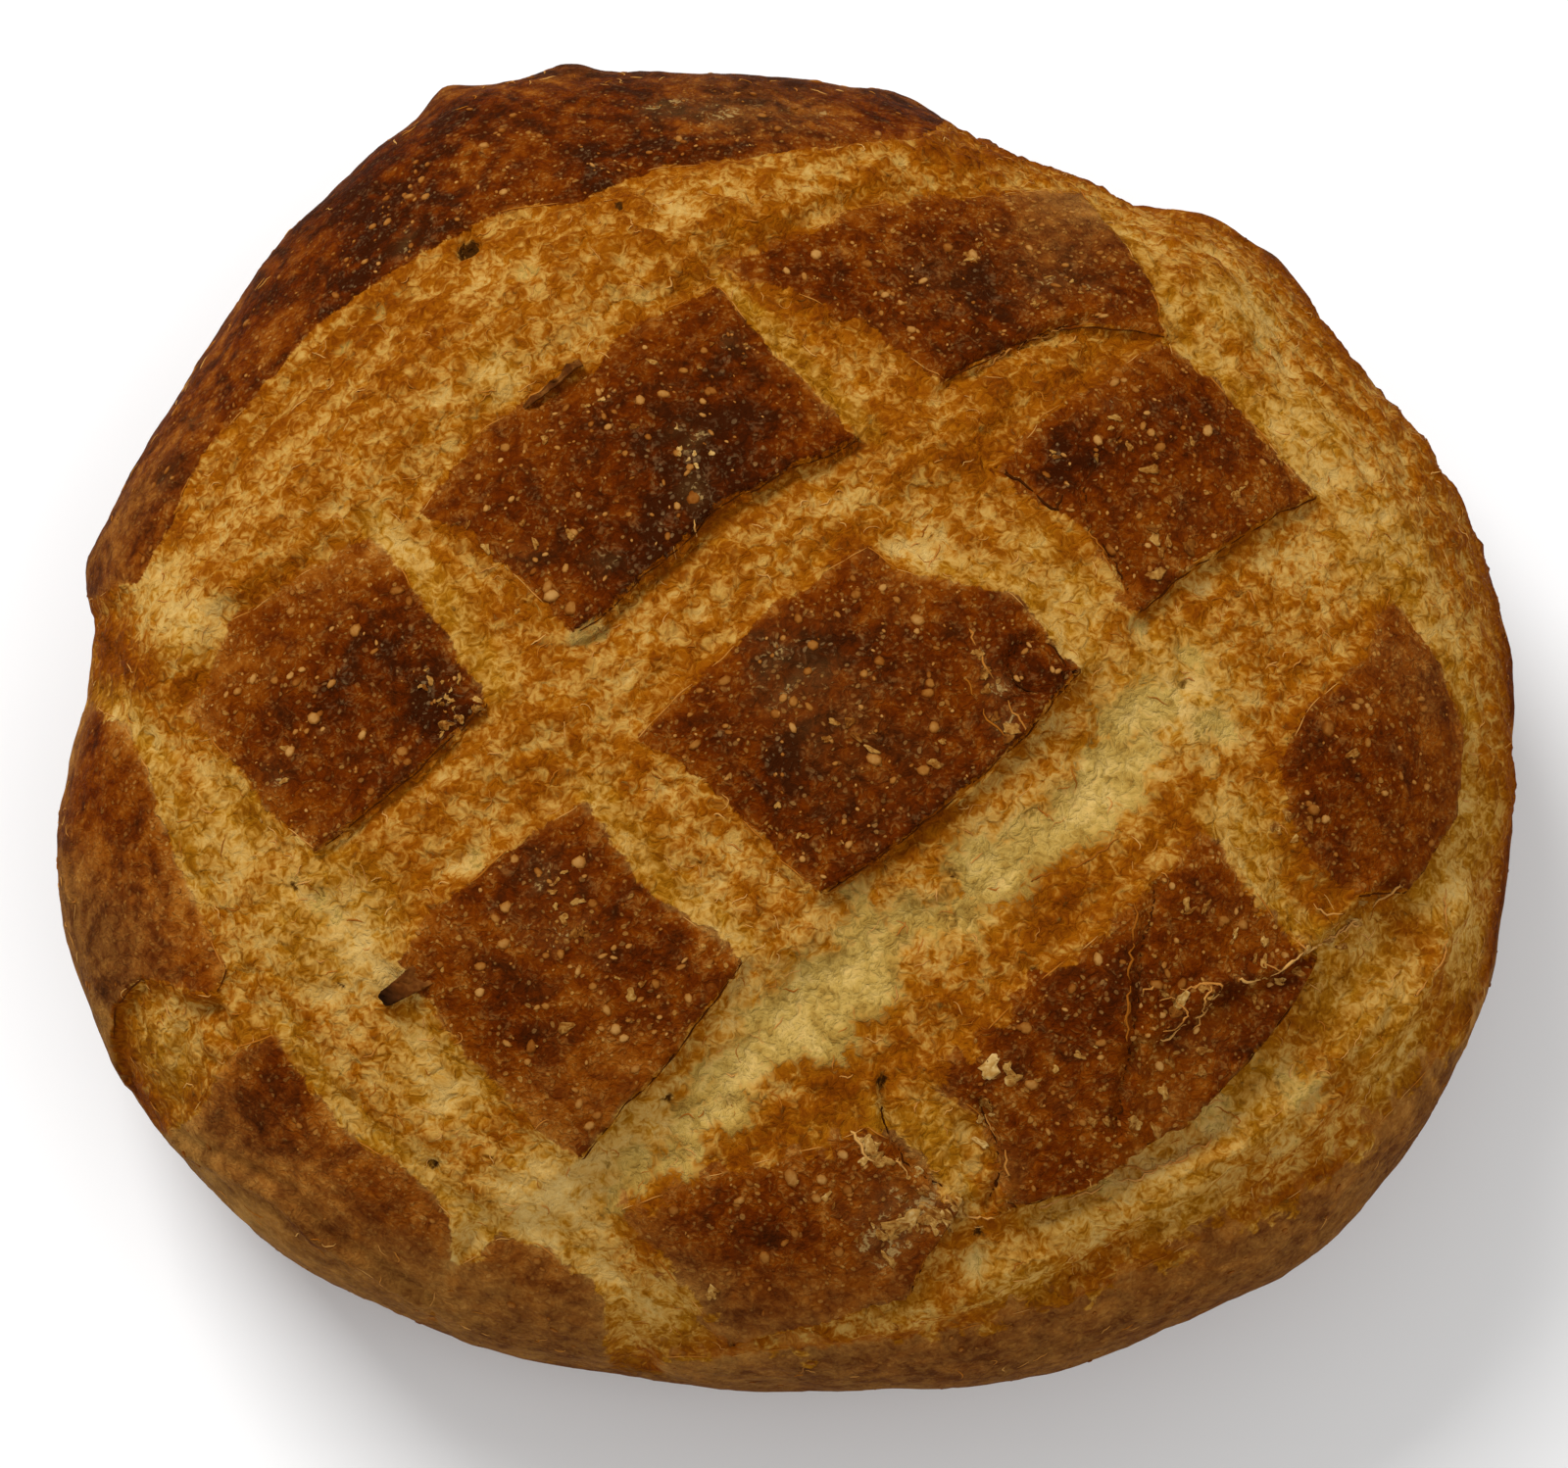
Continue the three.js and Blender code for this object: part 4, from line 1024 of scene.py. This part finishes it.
def make_threads():
    """Thin threads of torn dough and skin that lie on the crust, each a closed solid. The darkest paint
    shadow lines under the lips and shade in creases.
    """
    random = np.random.default_rng(THREAD_SEED)
    threads = [*torn_threads(random), *edge_threads(random), *cut_threads(random)]
    u, v, radius, dark = (np.array(column) for column in zip(*threads))
    on_edge = dark < 0
    for _ in range(2):
        distance, facing_u, facing_v = nearest_skin(u.ravel(), v.ravel())
        distance, facing_u, facing_v = (a.reshape(u.shape) for a in (distance, facing_u, facing_v))
        u = u - on_edge[:, None] * distance * facing_u
        v = v - on_edge[:, None] * distance * facing_v
    under = (dark == UNDER_LIP_SHADOW)[:, None]
    u, v = u + 0.3 * under * facing_u, v + 0.3 * under * facing_v
    # Threads under a lip take the darkest tone, as a painted shadow line.
    dark = np.where(dark == UNDER_LIP_SHADOW, 0.95, np.where(on_edge, 0.35 + 0.6 * (TORN_EDGE - dark), dark))
    ground = relief(Crust(u.ravel(), v.ravel())).reshape(u.shape)
    ground = np.where(under, np.minimum(ground, np.roll(ground, 1, axis=1)), ground)
    ahead_u, ahead_v = np.gradient(u, axis=1), np.gradient(v, axis=1)
    length = np.hypot(ahead_u, ahead_v) + 1e-6
    swell = 0.35 + 0.65 * np.sin(np.linspace(0, np.pi, THREAD_NODES))
    width = (radius[:, None] * swell)[:, :, None]
    k = turns(THREAD_SIDES)
    all_u = u[:, :, None] - (ahead_v / length)[:, :, None] * width * np.cos(k)
    all_v = v[:, :, None] + (ahead_u / length)[:, :, None] * width * np.cos(k)
    all_rise = ground[:, :, None] + width * (0.3 + 0.8 * np.sin(k))
    points = in_space(with_ends(u, all_u), with_ends(v, all_v), with_ends(ground, all_rise))
    piece = new_mesh("threads", points, closed_caps(len(points), THREAD_NODES, THREAD_SIDES)[:, ::-1])
    set_values(piece, "tone", np.repeat(dark, THREAD_NODES * THREAD_SIDES + 2))
    return piece


CURLS = [  # skin that curled up: place, height above the crust, half width, half thickness, how burnt
    [(-52.8, -50.8, -1.3, 2, 0.6, 0.35), (-54.6, -51.9, -0.3, 1.9, 0.7, 0.35),
     (-56.2, -52.9, 0.6, 1.6, 0.8, 0.45), (-57.6, -53.7, 1.2, 1.4, 0.9, 0.65),
     (-58.9, -54.4, 1.6, 1.3, 0.8, 0.95), (-59.8, -54.8, 1.4, 0.9, 0.5, 1)],
    [(-41, 34.8, -0.2, 0.3, 0.25, 0.3), (-39.4, 35.8, 0.4, 0.6, 0.35, 0.5),
     (-38, 36.7, 0.1, 0.35, 0.3, 0.2), (-36.4, 37.8, 0.5, 0.6, 0.35, 0.55),
     (-35, 38.7, 0.2, 0.4, 0.3, 0.2), (-33.6, 39.9, 0.7, 0.8, 0.4, 0.55),
     (-32.6, 40.6, 0.3, 0.5, 0.4, 0.3), (-31.6, 41, 0.1, 0.7, 0.3, 0.4)],
]
CURL_SEED = 3
CURL_SIDES = 16
CURL_RINGS = 24


def make_curls():
    """The burnt corner and the crinkled edge of two tiles, as bent solids."""
    random = np.random.default_rng(CURL_SEED)
    k = turns(CURL_SIDES)
    all_points, tones = [], []
    for line in CURLS:
        rows = np.array(line)
        fine = np.linspace(0, len(rows) - 1, CURL_RINGS)
        rows = np.stack([np.interp(fine, np.arange(len(rows)), column) for column in rows.T], 1)
        ahead = rows[-1, :2] - rows[0, :2]
        ahead /= np.linalg.norm(ahead)
        u, v, rise = [rows[0, 0]], [rows[0, 1]], [rows[0, 2]]
        for place_u, place_v, height, width, thickness, _ in rows:
            crinkle = 0.15 * random.normal(size=CURL_SIDES)
            u.extend(place_u - ahead[1] * width * np.cos(k))
            v.extend(place_v + ahead[0] * width * np.cos(k))
            rise.extend(height + thickness * np.sin(k) + 0.5 * width * np.cos(k) ** 2 + crinkle)
        u, v, rise = (np.append(values, rows[-1, column]) for column, values in enumerate((u, v, rise)))
        ground = relief(Crust(u, v))
        ground = np.interp(np.arange(len(u)), [0, len(u) - 1], [ground[0], ground[-1]])
        all_points.append(in_space(u, v, ground + rise))
        burnt = np.repeat(rows[:, 5], CURL_SIDES)
        tones.append(np.concatenate([burnt[:1], burnt, burnt[-1:]]))
    points = np.concatenate(all_points)
    piece = new_mesh("curled_edges", points, closed_caps(len(points), CURL_RINGS, CURL_SIDES)[:, ::-1])
    set_values(piece, "tone", np.concatenate(tones))
    return piece


# --- Materials ---

def linear(red, green, blue):
    """A colour given as 0 to 255 on screen, as Blender's linear numbers."""
    channels = np.array([red, green, blue]) / 255
    return tuple(np.where(channels <= 0.04045, channels / 12.92, ((channels + 0.055) / 1.055) ** 2.4)) + (1,)


class Shader:
    """One node material, built with short calls."""

    def __init__(self, name):
        self.material = bpy.data.materials.new(name)
        self.material.use_nodes = True
        self.tree = self.material.node_tree
        self.surface = self.tree.nodes["Principled BSDF"]

    def node(self, kind, settings=None, **inputs):
        node = self.tree.nodes.new(kind)
        for name, value in (settings or {}).items():
            setattr(node, name, value)
        for name, value in inputs.items():
            self.put(node.inputs[name.replace("_", " ")], value)
        return node

    def set_surface(self, colour, roughness, shine):
        self.put(self.surface.inputs["Base Color"], colour)
        self.surface.inputs["Roughness"].default_value = roughness
        self.surface.inputs["Specular IOR Level"].default_value = shine

    def put(self, socket, value):
        if isinstance(value, bpy.types.NodeSocket):
            self.tree.links.new(value, socket)
        else:
            socket.default_value = value

    def value(self, name):
        return self.node("ShaderNodeAttribute", {"attribute_name": name}).outputs["Fac"]

    def math(self, operation, *values):
        node = self.node("ShaderNodeMath", {"operation": operation})
        for socket, value in zip(node.inputs, values):
            self.put(socket, value)
        return node.outputs[0]

    def add(self, *values):
        total = values[0]
        for value in values[1:]:
            total = self.math("ADD", total, value)
        return total

    def times(self, a, b):
        return self.math("MULTIPLY", a, b)

    def mix(self, factor, a, b):
        node = self.node("ShaderNodeMix", {"data_type": "FLOAT"})
        for socket, value in zip(node.inputs, (factor, None, a, b)):
            if value is not None:
                self.put(socket, value)
        return node.outputs[0]

    def colour_mix(self, factor, a, b):
        node = self.node("ShaderNodeMix", {"data_type": "RGBA"})
        for place, value in ((0, factor), (6, a), (7, b)):
            self.put(node.inputs[place], value)
        return node.outputs[2]

    def step(self, value, start, end):
        node = self.node("ShaderNodeMapRange", {"interpolation_type": "SMOOTHSTEP"}, Value=value)
        node.inputs["From Min"].default_value = start
        node.inputs["From Max"].default_value = end
        return node.outputs[0]

    def noise(self, places, size, detail, roughness=0.55):
        """Noise from about -0.5 to 0.5."""
        node = self.node("ShaderNodeTexNoise", Vector=places, Scale=1 / size, Detail=detail,
                         Roughness=roughness)
        return self.math("SUBTRACT", node.outputs["Fac"], 0.5)

    def pushed(self, places, noise, reach):
        """Places pushed about by a noise's colour, up to reach millimetres."""
        node = self.node("ShaderNodeVectorMath", {"operation": "MULTIPLY_ADD"}, Vector=noise)
        node.inputs[1].default_value = (reach, reach, reach)
        self.put(node.inputs[2], places)
        return node.outputs[0]

    def ramp(self, value, stops):
        node = self.node("ShaderNodeValToRGB", Fac=value)
        elements = node.color_ramp.elements
        while len(elements) < len(stops):
            elements.new(0.5)
        for element, (place, *colour) in zip(elements, stops):
            element.position = place
            element.color = linear(*colour)
        return node.outputs[0]


# Colour ramps: place on the ramp, and red, green and blue as 0 to 255 on screen.
SKIN_COLOURS = [
    (0.00, 192, 140, 72), (0.30, 156, 96, 30), (0.50, 130, 68, 11), (0.65, 107, 46, 1), (0.78, 86, 30, 0),
    (0.90, 65, 20, 0), (1.00, 48, 14, 1),
]
TAN_COLOURS = [  # of the freckles and the dusting on the skin
    (0.40, 188, 138, 68), (0.70, 150, 102, 42), (0.85, 128, 86, 40), (1.00, 114, 86, 54),
]
ORANGE_COLOURS = [
    (0.10, 188, 132, 42), (0.30, 168, 106, 18), (0.50, 141, 77, 5), (0.70, 115, 54, 3), (0.90, 80, 32, 2),
]
YELLOW_COLOURS = [
    (0.10, 196, 152, 60), (0.30, 172, 124, 34), (0.50, 142, 92, 12), (0.70, 112, 64, 4),
    (0.90, 80, 40, 0),
]
# Yellow brown skin of the side, greyed by a painted sheen.
SIDE_SKIN_AND_SHEEN_COLOURS = [
    (0.30, 164, 122, 62), (0.50, 138, 98, 45), (0.65, 116, 78, 34), (0.80, 90, 51, 18), (1.00, 58, 28, 8),
]
CREAM_COLOURS = [
    (0.00, 210, 180, 114), (0.20, 194, 157, 88), (0.40, 178, 134, 62), (0.60, 156, 106, 34),
    (0.80, 118, 68, 12),
]
CRUMB_COLOURS = [
    (0.0, 214, 180, 108), (0.4, 180, 146, 72), (0.6, 158, 122, 52), (0.8, 128, 90, 32), (1.0, 70, 38, 8),
]


# Painted sheen: the grey haze, and the pale colour of scales that are painted as glints.
PAINTED_SHEEN_HAZE = (116, 88, 46)
GLINTING_SCALE_COLOUR = (164, 132, 78)
ROUGHNESS = 0.6  # of all baked pieces
CRUST_SHINE = 0.004
LOOSE_SHINE = 0.01
PER_METRE = 1000.0  # the crust's material works in millimetres


def specks(s, places, size, widest, share):
    """Round specks, one in some of the cells: how far into one a place is, from 0 to 1."""
    cells = s.node("ShaderNodeTexVoronoi", Vector=places, Scale=1 / size)
    parts = s.node("ShaderNodeSeparateColor", Color=cells.outputs["Color"]).outputs
    keep = s.math("LESS_THAN", parts[0], share)
    radius = s.math("MULTIPLY_ADD", parts[1], 0.4 * widest, 0.6 * widest)
    inside = s.math("SUBTRACT", radius, cells.outputs["Distance"])
    return s.times(s.times(keep, parts[2]), s.step(inside, 0.0, 0.3 * widest))


def crust_material():
    s = Shader("crust_baked_and_painted_light")
    place = s.node("ShaderNodeTexCoord").outputs["Object"]
    place = s.node("ShaderNodeVectorMath", {"operation": "SCALE"}, Vector=place, Scale=PER_METRE).outputs[0]
    push = s.node("ShaderNodeTexNoise", Vector=place, Scale=1 / 2.2, Detail=1.0)
    drawn = s.pushed(place, push.outputs["Color"], 3.0)
    nearby = s.pushed(place, push.outputs["Color"], 1.3)
    fine = s.noise(drawn, 1.0, 3, 0.6)
    waves = s.noise(drawn, 2.6, 2, 0.5)
    on_skin = s.step(s.add(s.value("skin_share"), s.times(fine, 0.9)), 0.35, 0.65)

    # Skin, with tan freckles.
    bake = s.value("skin_bake")
    grain = s.noise(nearby, 0.6, 1, 0.6)
    round_specks = specks(s, nearby, 1.15, 0.42, 0.75)
    dust = s.step(s.add(grain, s.times(fine, 0.5), s.times(waves, 0.9)), 0.02, 0.32)
    tan = s.times(s.value("freckles"), s.add(s.times(dust, 0.36), s.times(round_specks, 0.9)))
    skin = s.add(bake, s.times(grain, -0.2), s.times(fine, 0.4), s.times(waves, -0.4))
    yellow = s.value("yellow")
    # Towards the side the skin turns yellow brown, with a painted grey sheen.
    skin = s.colour_mix(s.times(yellow, 0.85), s.ramp(skin, SKIN_COLOURS), s.ramp(skin, SIDE_SKIN_AND_SHEEN_COLOURS))
    skin = s.colour_mix(tan, skin, s.ramp(bake, TAN_COLOURS))

    # Torn dough: pale blobs and threads on golden brown.
    cut = s.value("cut_bake")
    pale = s.add(cut, s.times(waves, -0.75), s.times(fine, 0.8))
    pale = s.step(pale, 0.61, 0.26)
    glaze = s.add(cut, s.times(fine, 0.75), s.times(waves, 0.1))
    glaze = s.colour_mix(yellow, s.ramp(glaze, ORANGE_COLOURS), s.ramp(glaze, YELLOW_COLOURS))
    torn = s.colour_mix(pale, glaze, s.ramp(s.add(cut, s.times(fine, 0.5)), CREAM_COLOURS))

    # Bare crumb.
    tone = s.add(s.value("crumb_tone"), s.times(fine, 0.8), s.times(waves, 0.6))
    bare = s.step(s.add(s.value("crumb"), s.times(fine, 1.6), s.times(waves, 1.6)), 0.25, 0.85)
    torn = s.colour_mix(bare, torn, s.ramp(tone, CRUMB_COLOURS))

    # Painted sheen: a grey haze, and little pale scales of dried skin painted bright as glints.
    dry_skin_and_sheen = s.times(s.value("dry_skin_and_sheen"), on_skin)
    glinting_scales = s.step(s.add(dry_skin_and_sheen, s.times(fine, 4), s.times(waves, 3), s.times(grain, 2)), 0.9, 1.5)
    glinting_scales = s.times(glinting_scales, s.step(dry_skin_and_sheen, 0.1, 0.5))
    skin = s.colour_mix(s.times(s.step(dry_skin_and_sheen, -0.2, 1.2), 0.24), skin, linear(*PAINTED_SHEEN_HAZE))
    bread = s.colour_mix(on_skin, torn, skin)
    glinting_share = s.times(glinting_scales, s.times(on_skin, 0.7))
    s.set_surface(s.colour_mix(glinting_share, bread, linear(*GLINTING_SCALE_COLOUR)), ROUGHNESS, CRUST_SHINE)

    on_cut = s.add(s.times(fine, 0.6), s.times(waves, 0.9), s.times(pale, 0.15),
                   s.times(s.times(bare, fine), 0.6))
    bump = s.mix(on_skin, on_cut, s.add(s.times(fine, 0.5), s.times(grain, 0.3), s.times(tan, 0.15)))
    node = s.node("ShaderNodeBump", Height=bump, Distance=MM, Strength=1.0)
    s.put(s.surface.inputs["Normal"], node.outputs[0])
    return s.material


BLISTER_COLOURS = [
    (0.0, 170, 124, 66), (0.3, 144, 92, 36), (0.6, 116, 62, 14), (1.0, 74, 28, 1),
]
FLAKE_COLOURS = [
    (0.0, 204, 170, 108), (0.35, 164, 120, 56), (0.7, 118, 68, 18), (1.0, 80, 38, 8),
]
CURL_COLOURS = [
    (0.0, 160, 112, 62), (0.2, 122, 74, 28), (0.45, 84, 42, 10), (0.7, 56, 28, 8), (1.0, 34, 16, 4),
]
THREAD_COLOURS = [
    (0.0, 222, 184, 122), (0.3, 198, 146, 76), (0.6, 160, 94, 24), (0.8, 106, 50, 6), (1.0, 58, 24, 3),
]


def mottled_material(name, size, contrast, colours):
    """Baked bread whose tone varies in spots about size millimetres across."""
    s = Shader(name)
    place = s.node("ShaderNodeTexCoord").outputs["Object"]
    tone = s.add(s.value("tone"), s.times(s.noise(place, size * MM, 3), contrast))
    s.set_surface(s.ramp(tone, colours), ROUGHNESS, LOOSE_SHINE)
    return s.material


def floor_material():
    s = Shader("studio_floor")
    s.set_surface(FLOOR_COLOUR, FLOOR_ROUGHNESS, FLOOR_SHINE)
    return s.material


# --- The studio ---

AIM = (-0.00125, -0.00615, 0.050)
CAMERA_ELEVATION = math.radians(75)
CAMERA_DISTANCE = 0.64
LENS = 91
SENSOR_WIDTH = 36
LIGHTS = [  # name, place, width and watts
    ("key", (-0.55, 0.75, 1.1), 0.6, 16),
    ("fill", (0.7, -0.6, 1.3), 1.0, 5),
]
SKY_STRENGTH = 0.55
FLOOR_REACH = 4000.0  # in millimetres
FLOOR_COLOUR = (0.9, 0.9, 0.9, 1)
FLOOR_ROUGHNESS = 0.9
FLOOR_SHINE = 0.1


def make_camera():
    data = bpy.data.cameras.new("camera")
    data.lens = LENS
    data.sensor_width = SENSOR_WIDTH
    camera = bpy.data.objects.new("camera", data)
    camera.location = (AIM[0], AIM[1] - CAMERA_DISTANCE * math.cos(CAMERA_ELEVATION),
                       AIM[2] + CAMERA_DISTANCE * math.sin(CAMERA_ELEVATION))
    camera.rotation_euler = (math.pi / 2 - CAMERA_ELEVATION, 0, 0)
    bpy.context.scene.collection.objects.link(camera)
    bpy.context.scene.camera = camera


def make_light(name, place, size, power):
    """A square soft light that looks at the loaf."""
    data = bpy.data.lights.new(name, "AREA")
    data.size = size
    data.energy = power
    light = bpy.data.objects.new(name, data)
    light.location = place
    aim = np.array(AIM) - np.array(place)
    turn = math.atan2(aim[1], aim[0])
    dip = math.atan2(math.hypot(aim[0], aim[1]), -aim[2])
    light.rotation_euler = (dip, 0, turn - math.pi / 2)
    bpy.context.scene.collection.objects.link(light)


def make_studio():
    floor = new_mesh("floor", np.array([[-1, -1, 0], [1, -1, 0], [1, 1, 0], [-1, 1, 0]]) * FLOOR_REACH,
                     np.array([[0, 1, 2, 3]]))
    floor.data.materials.append(floor_material())
    world = bpy.data.worlds.new("studio")
    bpy.context.scene.world = world
    world.use_nodes = True
    sky = world.node_tree.nodes["Background"].inputs
    sky["Color"].default_value = (1, 1, 1, 1)
    sky["Strength"].default_value = SKY_STRENGTH
    for light in LIGHTS:
        make_light(*light)
    bpy.context.scene.view_settings.view_transform = "Standard"


make_camera()
make_studio()
crust = make_crust()
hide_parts("loaf")
dressed = [
    (crust, crust_material()),
    (make_blisters(), mottled_material("blister_baked", 0.7, 0.5, BLISTER_COLOURS)),
    (make_flakes(), mottled_material("flake_baked_and_glints", 0.9, 0.9, FLAKE_COLOURS)),
    (make_threads(), mottled_material("thread_baked_and_shadow", 1.2, 0.2, THREAD_COLOURS)),
    (make_curls(), mottled_material("edge_burnt", 1.2, -0.7, CURL_COLOURS)),
]
for piece, material in dressed:
    piece.data.materials.append(material)
    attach(piece, "root")
